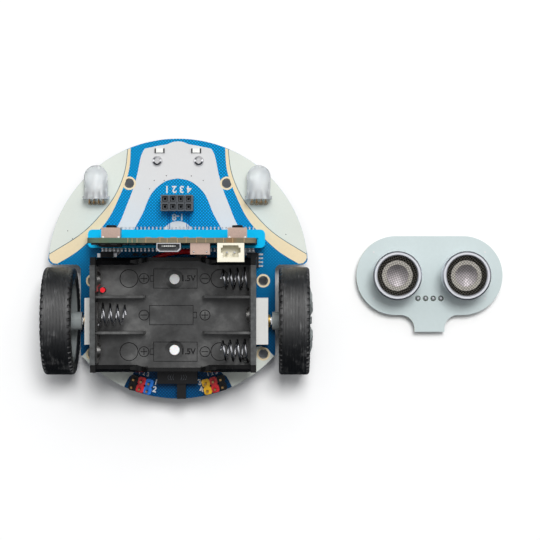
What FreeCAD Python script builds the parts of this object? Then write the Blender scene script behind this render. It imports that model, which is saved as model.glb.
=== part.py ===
"""Two wheel robot car: a round board on two geared motors and a ball caster, with a plug-in
controller card, a three cell battery holder and a loose two-eyed sonar module beside it.

Millimetres. +X is the car's right, +Y its front, +Z up. The origin is on the floor under the
centre of the round board.
"""
import FreeCAD
import Part
import math
import os

V = FreeCAD.Vector

# ---- driving dimensions -----------------------------------------------------------------
BOARD_R = 42.65
BOARD_T = 1.6
WHEEL_R = 17.5
AXLE_Y = -17.0
AXLE_Z = WHEEL_R
GEARBOX_W = 12.0          # across, along Y
GEARBOX_H = 10.0          # along Z
BOARD_TOP = AXLE_Z - GEARBOX_H / 2
BOARD_BOTTOM = BOARD_TOP - BOARD_T
NOTCH_X = 31.9            # the board's edge beside a wheel
NOTCH_Y = 1.3             # the front end of the wheel notch
TYRE_IN_X = 33.1
TYRE_W = 9.9
M3_HOLES = [(sx * 28, y) for sx in (-1, 1) for y in (-28, -4)] + [(-16, 28), (16, 28)]
M3_R = 1.6
M2_CLEAR_R = 1.1
M2_SHANK_R = 0.98
PITCH = 2.54              # header pitch
PIN_W = 0.64

BRACKET_OUT_X = 29.6
BRACKET_IN_X = 19.6
BRACKET_W = 15.0
BRACKET_TOP = BOARD_TOP + GEARBOX_H + 1.5
EAR_X = 22.4
EAR_Y = 9.7               # ear screw's distance from the axle line

HOLDER_BOTTOM = BRACKET_TOP
HOLDER_H = 12.6
HOLDER_MID_X = -0.5
HOLDER_X = 26.3          # half its length
HOLDER_Y0, HOLDER_Y1 = -33.0, 3.6
HOLDER_FLOOR_T = 1.9
END_WALL_T = 1.7
RIB_T = 0.8
BAY_PITCH = 11.4
BAY_MID_Y = (HOLDER_Y0 + HOLDER_Y1) / 2
BAY_YS = [BAY_MID_Y + k * BAY_PITCH for k in (1, 0, -1)]
CELL_R = 5.25
CELL_FIT_R = 5.35
CELL_Z = HOLDER_BOTTOM + HOLDER_FLOOR_T + CELL_R
HOLDER_SCREWS = [(HOLDER_MID_X, BAY_YS[k] - 0.1) for k in (0, 2)]
SPRING_R = 3.6            # at the wall
SPRING_TIP_R = 2.9
SPRING_WIRE_R = 0.34
SPRING_L = 8.8
SPRING_PITCH = 2.3
PLATE_STOCK = 0.4         # thickness of the contact plates
# each spring's bay and the end wall it stands on: the cells lie alternately
SPRINGS = [(0, 1), (1, -1), (2, 1)]

CARD_W = 51.6
CARD_H = 42.0
CARD_T = 1.6
CARD_Y = 8.6
CARD_BOTTOM = BOARD_TOP + 2.5
CARD_TOP = CARD_BOTTOM + CARD_H
CARD_FRONT = CARD_Y + CARD_T / 2
CARD_BACK = CARD_Y - CARD_T / 2
SOCKET_X = 28.6           # half length of the edge connector
SOCKET_Y0, SOCKET_Y1 = 6.7, 12.6
SOCKET_H = 10.4
CONTACT_PITCH = 1.27
CONTACTS_PER_SIDE = 40
BUTTON_X = 19.9
BUTTON_Z = 36.0
RESET_X, RESET_Z = 8.8, 52.6
USB_X = -0.75
CELL_PLUG_X = 18.2        # the card's battery socket
BUTTON_W = 6.0
BUTTON_D = 3.5
PLUNGER_R = 1.7
PLUNGER_OUT = 0.8
BUTTON_TRAVEL = 0.25

LED_X = 26.5
LED_BACK_Y, LED_TIP_Y = 22.6, 33.7
LED_R, LED_FLANGE_R = 3.85, 4.4
LED_Z = BOARD_TOP + LED_FLANGE_R + 0.1
LED_LEAD_XS = (-2.25, -0.75, 0.75, 2.25)
LED_LEAD_Y = 21.5

SENSOR_SOCKET_Y = 21.3
SENSOR_SOCKET_H = 8.5

PORT_X, PORT_Y, PORT_TURN = 12.0, -38.0, 15.0

CASTER_Y = 35.3
CASTER_SCREW_X = 6.8
BALL_R = 4.75
BALL_GAP = 0.1

SWITCH_W, SWITCH_D, SWITCH_H = 13.0, 6.2, 5.0
SWITCH_Y0 = -37.5         # its rear face
LEVER_W = 2.9
LEVER_TRAVEL = 2.6
LEVER_X = LEVER_TRAVEL / 2
LEVER_Z = BOARD_TOP + 2.6
LEVER_TIP_Y = -42.5

GEAR_M = 0.15
PINION_T, WHEEL_T = 12, 32
GEAR_A = GEAR_M * (PINION_T + WHEEL_T) / 2
GEAR_BACKLASH = 0.03
GEAR_BORE_R = 0.46
GEAR_PIN_R = 0.4
GEARBOX_X0, GEARBOX_X1 = 20.2, 29.4
PLATE_T = 0.8
CAN_X0 = 5.2
CAN_R = 6.0
CAN_WALL = 0.6
SHAFT_R = 1.5

SONAR_X, SONAR_Y = 83.2, -2.3
SONAR_BODY_W, SONAR_BODY_H = 48.6, 26.2
SONAR_NECK_W = 10.0
SONAR_NECK_END = -18.7
SONAR_BACK = PITCH        # it lies on its header and crystal
SONAR_TOP = SONAR_BACK + BOARD_T
EYE_SPACING = 22.6
EYE_R = 8.0
EYE_OPENING_R = 6.6
EYE_H = 12.0
SONAR_PIN_Y = -7.6


# ---- small helpers ----------------------------------------------------------------------
def box(x0, x1, y0, y1, z0, z1):
    """A box between two corners, given in any order."""
    lo = V(min(x0, x1), min(y0, y1), min(z0, z1))
    return Part.makeBox(abs(x1 - x0), abs(y1 - y0), abs(z1 - z0), lo)


def rod(radius, start, end):
    """A cylinder from one point to another."""
    axis = end - start
    return Part.makeCylinder(radius, axis.Length, start, axis)


def prism(points, height):
    """A polygon of 3-D points pushed along a vector."""
    wire = Part.makePolygon([V(*p) for p in points] + [V(*points[0])])
    return Part.Face(wire).extrude(V(*height))


def lathe(points, centre, axis):
    """A closed profile of (radius, along) points turned about an axis through a centre."""
    wire = Part.makePolygon([V(r, 0, h) for r, h in points] + [V(points[0][0], 0, points[0][1])])
    solid = Part.Face(wire).revolve(V(0, 0, 0), V(0, 0, 1), 360)
    return place(solid, centre, axis)


def place(shape, centre, axis):
    """Turns a shape built about +Z onto an axis and puts its origin at a centre."""
    turn = FreeCAD.Rotation(V(0, 0, 1), V(*axis))
    shape.Placement = FreeCAD.Placement(V(*centre), turn)
    return shape


def round_upright(shape, radius, test):
    """Fillets the edges along Z whose middle passes the test."""
    edges = []
    for edge in shape.Edges:
        if len(edge.Vertexes) != 2:
            continue
        a, b = (v.Point for v in edge.Vertexes)
        if abs(a.x - b.x) < 1e-6 and abs(a.y - b.y) < 1e-6 and test((a + b) / 2):
            edges.append(edge)
    return shape.makeFillet(radius, edges) if edges else shape


def drilled(shape, tools):
    """The shape with the tools taken away."""
    return shape.cut(Part.makeCompound(tools)) if tools else shape


def tube_route(points, radius):
    """A wire's insulation: straight runs joined by tangent arcs as large as the runs allow."""
    points = [V(*p) for p in points]
    edges, start, tightest = [], points[0], 1e9
    for before, here, after in zip(points, points[1:], points[2:]):
        into, out = (here - before).normalize(), (after - here).normalize()
        turn = into.getAngle(out)
        shorter = min((here - before).Length, (after - here).Length)
        arc_r = 0.45 * shorter / math.tan(turn / 2)
        tightest = min(tightest, arc_r)
        cut = 0.45 * shorter
        a, b = here - into * cut, here + out * cut
        bisector = (out - into).normalize()
        centre = here + bisector * (arc_r / math.cos(turn / 2))
        middle = centre - bisector * arc_r
        edges.append(Part.makeLine(start, a))
        edges.append(Part.Arc(a, middle, b).toShape())
        start = b
    edges.append(Part.makeLine(start, points[-1]))
    path = Part.Wire(edges)
    first = (points[1] - points[0]).normalize()
    section = Part.Wire(Part.makeCircle(radius, points[0], first))
    solid = path.makePipeShell([section], True, True)
    expected = math.pi * radius ** 2 * path.Length
    print(f"lead: length {path.Length:.1f}, tightest radius {tightest:.2f}, "
          f"volume {solid.Volume / expected:.4f} of section times length")
    return solid


def save(name, *solids):
    """Writes one node's STEP file."""
    for solid in solids:
        if not solid.isValid() or solid.Volume <= 0:
            print("PROBLEM in", name, "valid", solid.isValid(), "volume", solid.Volume)
    shape = solids[0] if len(solids) == 1 else Part.makeCompound(list(solids))
    shape.exportStep(f"parts/{name}.step")


# ---- screws -----------------------------------------------------------------------------
def pan_screw(x, y, seat_z, length, up, head_r=1.7, shank_r=M2_SHANK_R):
    """A cross-recessed pan head screw. Its head sits on seat_z and its shank runs away from it."""
    head_h = 1.2
    profile = [(0, 0), (head_r, 0), (head_r, 0.35), (head_r * 0.86, 0.85), (head_r * 0.5, head_h),
               (0, head_h)]
    solid = lathe(profile, (0, 0, 0), (0, 0, 1))
    slot = [box(-head_r * 0.55, head_r * 0.55, -0.2, 0.2, 0.55, head_h + 0.1),
            box(-0.2, 0.2, -head_r * 0.55, head_r * 0.55, 0.55, head_h + 0.1)]
    solid = drilled(solid, slot).fuse(rod(shank_r, V(0, 0, 0), V(0, 0, -length)))
    return place(solid, (x, y, seat_z), (0, 0, 1 if up else -1))


CASTER_SCREWS = [(sx * CASTER_SCREW_X, CASTER_Y) for sx in (-1, 1)]
EAR_SCREWS = [(sx * EAR_X, AXLE_Y + sy * EAR_Y) for sx in (-1, 1) for sy in (-1, 1)]


def machine_screws():
    """Two screws down into the caster and four up into the motor brackets' ears."""
    down = [pan_screw(x, y, BOARD_TOP, 6.0, True) for x, y in CASTER_SCREWS]
    up = [pan_screw(x, y, BOARD_BOTTOM, 4.0, False) for x, y in EAR_SCREWS]
    save("machine_screws", *down, *up)


# ---- headers and their pins -------------------------------------------------------------
def port_spot(side, column, row):
    """The middle of one servo port cell. Column runs left to right, row towards the rear."""
    turn = math.radians(PORT_TURN * side)
    dx, dy = (column - 1) * PITCH, (0.5 - row) * PITCH
    return (side * PORT_X + dx * math.cos(turn) - dy * math.sin(turn),
            PORT_Y + dx * math.sin(turn) + dy * math.cos(turn))


PORT_SPOTS = [port_spot(side, c, r) for side in (-1, 1) for c in range(3) for r in range(2)]
SOCKET_SPOTS = [((c - 1.5) * PITCH, SENSOR_SOCKET_Y + (r - 0.5) * PITCH)
                for c in range(4) for r in range(2)]
LED_LEAD_SPOTS = [(sx * LED_X + dx, LED_LEAD_Y) for sx in (-1, 1) for dx in LED_LEAD_XS]


def square_pin(x, y, z0, z1, width=PIN_W, turn=0.0):
    """An upright square pin."""
    pin = box(-width / 2, width / 2, -width / 2, width / 2, z0, z1)
    pin.Placement = FreeCAD.Placement(V(x, y, 0), FreeCAD.Rotation(V(0, 0, 1), turn))
    return pin


def header_pins():
    """The servo ports' twelve posts and the tails of the sensor socket's eight contacts."""
    posts = []
    for side in (-1, 1):
        for column in range(3):
            for row in range(2):
                x, y = port_spot(side, column, row)
                posts.append(square_pin(x, y, BOARD_BOTTOM - 1, BOARD_TOP + PITCH + 6,
                                        turn=PORT_TURN * side))
    tails = [square_pin(x, y, BOARD_BOTTOM - 1, BOARD_TOP, 0.6) for x, y in SOCKET_SPOTS]
    save("header_pins", *posts, *tails)


def port_strip(side, column):
    """One colour's plastic strip: two cells with nicked corners, on two posts."""
    corner = 0.45
    half = PITCH / 2
    cell = [(half, -half + corner, 0), (half, half - corner, 0), (half - corner, half, 0),
            (-half + corner, half, 0), (-half, half - corner, 0), (-half, -half + corner, 0),
            (-half + corner, -half, 0), (half - corner, -half, 0)]
    cells = []
    for row in range(2):
        x, y = port_spot(side, column, row)
        solid = prism(cell, (0, 0, PITCH))
        hole = box(-PIN_W / 2, PIN_W / 2, -PIN_W / 2, PIN_W / 2, -1, PITCH + 1)
        solid = solid.cut(hole)
        solid.Placement = FreeCAD.Placement(V(x, y, BOARD_TOP),
                                            FreeCAD.Rotation(V(0, 0, 1), PORT_TURN * side))
        cells.append(solid)
    return cells[0].fuse(cells[1])


def port_strips():
    """Ground strips outermost, power in the middle, signal innermost."""
    save("port_strips_black", port_strip(-1, 0), port_strip(1, 2))
    save("port_strips_red", port_strip(-1, 1), port_strip(1, 1))
    save("port_strip_blue", port_strip(-1, 2))
    save("port_strip_yellow", port_strip(1, 0))


def sensor_socket():
    """The four by two female header that the sonar module plugs into."""
    half_x, half_y = 2 * PITCH + 0.1, PITCH + 0.05
    body = box(-half_x, half_x, SENSOR_SOCKET_Y - half_y, SENSOR_SOCKET_Y + half_y,
               BOARD_TOP, BOARD_TOP + SENSOR_SOCKET_H)
    top = BOARD_TOP + SENSOR_SOCKET_H
    cuts = []
    for x, y in SOCKET_SPOTS:
        cuts.append(square_pin(x, y, top - 6.5, top + 1, 0.8))
        cuts.append(square_pin(x, y, top - 0.5, top + 1, 1.35))
    for k in (-1, 0, 1):
        for sy in (-1, 1):
            cuts.append(square_pin(k * PITCH, SENSOR_SOCKET_Y + sy * half_y,
                                   BOARD_TOP - 1, top + 1, 0.35, 45))
    save("sensor_socket", drilled(body, cuts))


# ---- the round board --------------------------------------------------------------------
def base_board():
    """The round board with its two wheel notches and every hole."""
    disc = rod(BOARD_R, V(0, 0, BOARD_BOTTOM), V(0, 0, BOARD_TOP))
    reach = BOARD_R + 1
    notches = [box(sx * NOTCH_X, sx * reach, -reach, NOTCH_Y, 0, BOARD_TOP + 1)
               for sx in (-1, 1)]
    board = drilled(disc, notches)
    board = round_upright(board, 1.8, lambda p: abs(abs(p.x) - NOTCH_X) < 0.1 and p.y > 0)
    board = round_upright(board, 1.9, lambda p: abs(p.x) > 41 and p.y > 0)
    z0, z1 = V(0, 0, BOARD_BOTTOM - 1), V(0, 0, BOARD_TOP + 1)
    holes = [rod(M3_R, V(x, y, 0) + z0, V(x, y, 0) + z1) for x, y in M3_HOLES]
    m2_spots = CASTER_SCREWS + EAR_SCREWS + HOLDER_SCREWS
    holes += [rod(M2_CLEAR_R, V(x, y, 0) + z0, V(x, y, 0) + z1) for x, y in m2_spots]
    pin_spots = PORT_SPOTS + SOCKET_SPOTS + LED_LEAD_SPOTS
    holes += [rod(0.5, V(x, y, 0) + z0, V(x, y, 0) + z1) for x, y in pin_spots]
    save("base_board", drilled(board, holes))


# ---- card, its edge connector and what is on it -----------------------------------------
def edge_connector():
    """The long plastic edge connector and its two rows of gull-wing contacts."""
    top = BOARD_TOP + SOCKET_H
    body = box(-SOCKET_X, SOCKET_X, SOCKET_Y0, SOCKET_Y1, BOARD_TOP, top)
    body = round_upright(body, 1.5, lambda p: True)
    slot = box(-CARD_W / 2 - 0.25, CARD_W / 2 + 0.25, CARD_BACK - 0.1, CARD_FRONT + 0.1,
               CARD_BOTTOM, top + 1)
    mouth = prism([(-CARD_W / 2 - 0.6, CARD_BACK - 0.5, top + 0.01),
                   (-CARD_W / 2 - 0.6, CARD_FRONT + 0.5, top + 0.01),
                   (-CARD_W / 2 - 0.6, CARD_FRONT + 0.1, top - 0.5),
                   (-CARD_W / 2 - 0.6, CARD_BACK - 0.1, top - 0.5)], (CARD_W + 1.2, 0, 0))
    save("edge_connector_housing", drilled(body, [slot, mouth]))
    contacts = []
    for k in range(CONTACTS_PER_SIDE):
        x = (k - (CONTACTS_PER_SIDE - 1) / 2) * CONTACT_PITCH
        for face, sign in ((SOCKET_Y1, 1), (SOCKET_Y0, -1)):
            bend = [(0, 1.1), (0.25, 1.1), (0.45, 0.2), (1.1, 0.2), (1.1, 0), (0.2, 0), (0, 0.8)]
            profile = [(x - 0.25, face + sign * out, BOARD_TOP + up) for out, up in bend]
            contacts.append(prism(profile, (0.5, 0, 0)))
    save("edge_connector_contacts", *contacts)


def controller_board():
    """The upright card, with rounded top corners and five ring holes near its lower edge."""
    card = box(-CARD_W / 2, CARD_W / 2, CARD_BACK, CARD_FRONT, CARD_BOTTOM, CARD_TOP)
    corners = [e for e in card.Edges
               if abs(e.CenterOfMass.z - CARD_TOP) < 1e-6 and abs(e.CenterOfMass.x) > 1]
    card = card.makeFillet(2.6, corners)
    holes = [rod(2.0, V(x, CARD_BACK - 1, CARD_BOTTOM + 4.6), V(x, CARD_FRONT + 1, CARD_BOTTOM + 4.6))
             for x in (-23.3, -12.7, 0, 12.7, 23.3)]
    save("controller_board", drilled(card, holes))


def push_button(x, z, face, sign):
    """A square push switch on the card: its case with a well, and its round plunger."""
    half = BUTTON_W / 2
    out = face + sign * BUTTON_D
    case = box(x - half, x + half, face, out, z - half, z + half)
    well_depth = BUTTON_D - 1.0
    case = case.cut(rod(PLUNGER_R + 0.08, V(x, out - sign * well_depth, z), V(x, out + sign, z)))
    tip = out + sign * PLUNGER_OUT
    foot = out - sign * (well_depth - BUTTON_TRAVEL - 0.1)
    plunger = rod(PLUNGER_R, V(x, foot, z), V(x, tip, z))
    rim = max(plunger.Edges, key=lambda e: sign * e.CenterOfMass.y)
    return case, plunger.makeChamfer(0.2, [rim])


def card_buttons():
    """Two user buttons on the card's front and the reset button on its back."""
    spots = {"button_a": (BUTTON_X, BUTTON_Z, CARD_FRONT, 1),
             "button_b": (-BUTTON_X, BUTTON_Z, CARD_FRONT, 1),
             "reset": (RESET_X, RESET_Z, CARD_BACK, -1)}
    cases = []
    for name, spot in spots.items():
        case, plunger = push_button(*spot)
        cases.append(case)
        save(f"{name}_plunger", plunger)
    save("button_cases", *cases)


def usb_socket():
    """The folded steel shell, open upwards, and the tongue inside it."""
    half, depth, top, length, wall = 3.7, 2.7, CARD_TOP + 0.4, 5.4, 0.3
    y0, y1 = CARD_BACK - depth, CARD_BACK

    def outline(inset, z):
        low, high = y0 + inset, y1 - inset
        right, left, step = USB_X + half - inset, USB_X - half + inset, 0.8
        return [(left, high, z), (right, high, z), (right, low + step, z), (right - step, low, z),
                (left + step, low, z), (left, low + step, z)]

    shell = prism(outline(0, top - length), (0, 0, length))
    shell = shell.cut(prism(outline(wall, top - length + 0.6), (0, 0, length)))
    tongue = box(USB_X - 2.2, USB_X + 2.2, y1 - 1.15, y1 - 0.75, top - length + 0.6, top - 0.8)
    save("usb_socket", shell, tongue)


def battery_socket():
    """The card's two pin battery socket: an ivory box open upwards, and two pins."""
    x, half, depth, height = CELL_PLUG_X, 4.1, 5.8, 7.0
    y0, y1 = CARD_BACK - depth, CARD_BACK
    z0 = CARD_TOP - height
    body = box(x - half, x + half, y0, y1, z0, CARD_TOP)
    cavity = box(x - 2.4, x + 2.4, y0 + 1.4, y1 - 0.7, z0 + 1.0, CARD_TOP + 1)
    keys = [box(x + s * 2.3, x + s * 3.0, y0 + 2.8, y1 - 1.4, z0 + 1.0, CARD_TOP + 1)
            for s in (-1, 1)]
    notch = box(x - 1.2, x + 1.2, y0 - 1, y0 + 1.6, z0 + 3.6, CARD_TOP - 2.0)
    pins = [box(x + s * 1.15 - 0.25, x + s * 1.15 + 0.25, y0 + 2.7, y0 + 3.2, z0 + 1.0, CARD_TOP - 1.2)
            for s in (-1, 1)]
    save("battery_socket", drilled(body, [cavity, notch] + keys), *pins)


def controller_chips():
    """The card's chips and small parts: packages on its back, a five by five LED grid on its front."""
    back, front = CARD_BACK, CARD_FRONT
    packages = [(-19.8, 41.0, 7.0, 7.0, 0.9), (-20.5, 29.0, 6.0, 6.0, 0.9), (-2.5, 36.0, 2.5, 3.0, 1.0),
                (8.8, 38.0, 5.6, 5.6, 0.9), (17.6, 37.0, 4.4, 5.0, 1.2), (20.5, 43.0, 3.2, 1.6, 1.0)]
    solids = [box(x - w / 2, x + w / 2, back - t, back, z - h / 2, z + h / 2)
              for x, z, w, h, t in packages]
    top_row = [(-23.6, 1.9), (-20.9, 1.2), (-17.6, 1.9), (-14.3, 1.2), (-11.7, 1.9), (-8.6, 1.2)]
    solids += [box(x - w / 2, x + w / 2, back - 0.6, back, CARD_TOP - 2.3, CARD_TOP - 1.2)
               for x, w in top_row]
    for i in range(5):
        for j in range(5):
            x, z = (i - 2) * 4.0, BUTTON_Z + (j - 2) * 4.0
            solids.append(box(x - 0.8, x + 0.8, front, front + 0.4, z - 0.4, z + 0.4))
    save("controller_chips", *solids)


# ---- lamps, chips and sensors on the board ----------------------------------------------
def headlights():
    """Two big round lamps lying on the board, facing forwards, each on four bent leads."""
    lenses, leads = [], []
    for sx in (-1, 1):
        x = sx * LED_X
        dome_y = LED_TIP_Y - LED_R
        lens = rod(LED_R, V(x, LED_BACK_Y, LED_Z), V(x, dome_y, LED_Z))
        lens = lens.fuse(Part.makeSphere(LED_R, V(x, dome_y, LED_Z)))
        lens = lens.fuse(rod(LED_FLANGE_R, V(x, LED_BACK_Y, LED_Z), V(x, LED_BACK_Y + 1, LED_Z)))
        mine = []
        for dx in LED_LEAD_XS:
            w = 0.25
            out = box(x + dx - w, x + dx + w, LED_LEAD_Y - w, LED_BACK_Y + 2.5, LED_Z - w, LED_Z + w)
            down = box(x + dx - w, x + dx + w, LED_LEAD_Y - w, LED_LEAD_Y + w, BOARD_BOTTOM - 0.8,
                       LED_Z - w)
            mine.append(out.fuse(down))
        leads += mine
        lenses.append(drilled(lens, mine))
    save("headlight_lenses", *lenses)
    save("headlight_leads", *leads)


def board_chips():
    """Small parts on the board's top: motor driver, diode and the two line indicator lamps."""
    driver = box(22.6, 26.5, 0.3, 5.2, BOARD_TOP + 0.1, BOARD_TOP + 1.6)
    legs, leg_w = [], 0.55
    bend = [(0, 1.0), (0.4, 1.0), (0.6, 0.2), (1.4, 0.2), (1.4, 0), (0.4, 0), (0.2, 0.8), (0, 0.8)]
    for k in range(4):
        y = 0.85 + k * CONTACT_PITCH
        for face, sign in ((26.5, 1), (22.6, -1)):
            profile = [(face + sign * out, y - leg_w / 2, BOARD_TOP + up) for out, up in bend]
            legs.append(prism(profile, (0, leg_w, 0)))
    diode = box(-25.3, -21.1, 2.9, 5.5, BOARD_TOP, BOARD_TOP + 2.2)
    tabs = [box(-26.4, -25.3, 3.4, 5.0, BOARD_TOP, BOARD_TOP + 0.9),
            box(-21.1, -20.0, 3.4, 5.0, BOARD_TOP, BOARD_TOP + 0.9)]
    lamps = [box(sx * 6.0 - 1.5, sx * 6.0 + 1.5, 38.05, 39.35, BOARD_TOP, BOARD_TOP + 0.8)
             for sx in (-1, 1)]
    small = [box(x - 0.8, x + 0.8, y - 0.4, y + 0.4, BOARD_TOP, BOARD_TOP + 0.5)
             for x, y in ((-14.0, 4.6), (-11.0, 4.6), (15.5, 4.8), (18.5, 4.8))]
    save("board_chips", driver, *legs, diode, *tabs, *lamps, *small)


def underside_lights_and_sensors():
    """Two reflective line sensors and two square colour lamps under the board."""
    sensors = []
    for sx in (-1, 1):
        x, y, z = sx * 8.0, 26.0, BOARD_BOTTOM - 6.2
        body = box(x - 5.1, x + 5.1, y - 2.9, y + 2.9, z, BOARD_BOTTOM)
        wells = [rod(1.9, V(x + s * 2.4, y, z - 1), V(x + s * 2.4, y, z + 2.5)) for s in (-1, 1)]
        sensors.append(drilled(body, wells))
        for s in (-1, 1):
            lens = rod(1.7, V(x + s * 2.4, y, z + 2.5), V(x + s * 2.4, y, z + 0.9))
            dome = Part.makeSphere(1.7, V(x + s * 2.4, y, z + 0.9 + 1.0))
            sensors.append(lens.fuse(dome.common(box(x - 9, x + 9, y - 9, y + 9, z, z + 2.5))))
    save("line_sensors", *sensors)
    lamps = []
    for sx in (-1, 1):
        x, y = sx * 27.0, 12.0
        body = box(x - 2.5, x + 2.5, y - 2.5, y + 2.5, BOARD_BOTTOM - 1.6, BOARD_BOTTOM)
        lamps.append(body.cut(Part.makeCone(2.0, 1.6, 0.8, V(x, y, BOARD_BOTTOM - 1.61), V(0, 0, 1))))
    save("underglow_lamps", *lamps)


# ---- power switch -----------------------------------------------------------------------
def power_switch():
    """A slide switch at the rear edge: a case with a slot, and the slider with its lever."""
    y0, y1 = SWITCH_Y0, SWITCH_Y0 + SWITCH_D
    case = box(-SWITCH_W / 2, SWITCH_W / 2, y0, y1, BOARD_TOP, BOARD_TOP + SWITCH_H)
    reach = LEVER_X + LEVER_W / 2
    well = box(-4.2, 4.2, y0 + 1.0, y1 - 1.2, BOARD_TOP + 1.0, BOARD_TOP + SWITCH_H - 0.8)
    slot = box(-reach - 0.15, reach + 0.15, y0 - 1, y0 + 1.1, LEVER_Z - 1.35, LEVER_Z + 1.35)
    save("power_switch_case", drilled(case, [well, slot]))
    lever = box(LEVER_X - LEVER_W / 2, LEVER_X + LEVER_W / 2, LEVER_TIP_Y, y0 + 1.2,
                LEVER_Z - 1.25, LEVER_Z + 1.25)
    shoe = box(LEVER_X - 2.6, LEVER_X + 2.6, y0 + 1.1, y1 - 1.3, LEVER_Z - 1.4, LEVER_Z + 1.5)
    save("power_switch_slider", lever.fuse(shoe))


# ---- ball caster ------------------------------------------------------------------------
def caster():
    """A cup under the board's nose that holds a steel ball just below its middle."""
    body_r, lip_z = 5.9, 3.0
    centre = V(0, CASTER_Y, BALL_R)
    cup = rod(body_r, V(0, CASTER_Y, lip_z), V(0, CASTER_Y, BOARD_BOTTOM))
    flange = rod(2.6, V(-CASTER_SCREW_X, CASTER_Y, BOARD_BOTTOM - 4.5),
                 V(-CASTER_SCREW_X, CASTER_Y, BOARD_BOTTOM))
    flange = flange.fuse(rod(2.6, V(CASTER_SCREW_X, CASTER_Y, BOARD_BOTTOM - 4.5),
                             V(CASTER_SCREW_X, CASTER_Y, BOARD_BOTTOM)))
    bridge = box(-CASTER_SCREW_X, CASTER_SCREW_X, CASTER_Y - 2.6, CASTER_Y + 2.6,
                 BOARD_BOTTOM - 2.0, BOARD_BOTTOM)
    cup = cup.fuse(flange).fuse(bridge)
    cuts = [Part.makeSphere(BALL_R + BALL_GAP, centre)]
    cuts += [rod(M2_SHANK_R + 0.02, V(x, y, BOARD_BOTTOM - 5), V(x, y, BOARD_BOTTOM + 1))
             for x, y in CASTER_SCREWS]
    cuts += [box(-0.8, 0.8, CASTER_Y - 9, CASTER_Y + 9, lip_z - 1, lip_z + 2.4),
             box(-9, 9, CASTER_Y - 0.8, CASTER_Y + 0.8, lip_z - 1, lip_z + 2.4)]
    save("caster_housing", drilled(cup, cuts))
    save("caster_ball", Part.makeSphere(BALL_R, centre))


# ---- battery holder ---------------------------------------------------------------------
def side_wall(sy, x0, x1):
    """A stretch of long wall that curls inwards over the outer cell to clip it."""
    cell_y = BAY_YS[0] if sy > 0 else BAY_YS[2]
    face = HOLDER_Y1 if sy > 0 else HOLDER_Y0
    outer_r = abs(face - cell_y)
    curl = math.radians(34)

    def at(radius, angle):
        return V(x0, cell_y + sy * radius * math.cos(angle), CELL_Z + radius * math.sin(angle))

    foot_out, foot_in = V(x0, face, HOLDER_BOTTOM), V(x0, cell_y + sy * CELL_FIT_R, HOLDER_BOTTOM)
    edges = [Part.makeLine(foot_out, at(outer_r, 0)),
             Part.Arc(at(outer_r, 0), at(outer_r, curl / 2), at(outer_r, curl)).toShape(),
             Part.makeLine(at(outer_r, curl), at(CELL_FIT_R, curl)),
             Part.Arc(at(CELL_FIT_R, curl), at(CELL_FIT_R, curl / 2), at(CELL_FIT_R, 0)).toShape(),
             Part.makeLine(at(CELL_FIT_R, 0), foot_in), Part.makeLine(foot_in, foot_out)]
    return Part.Face(Part.Wire(edges)).extrude(V(x1 - x0, 0, 0))


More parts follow.
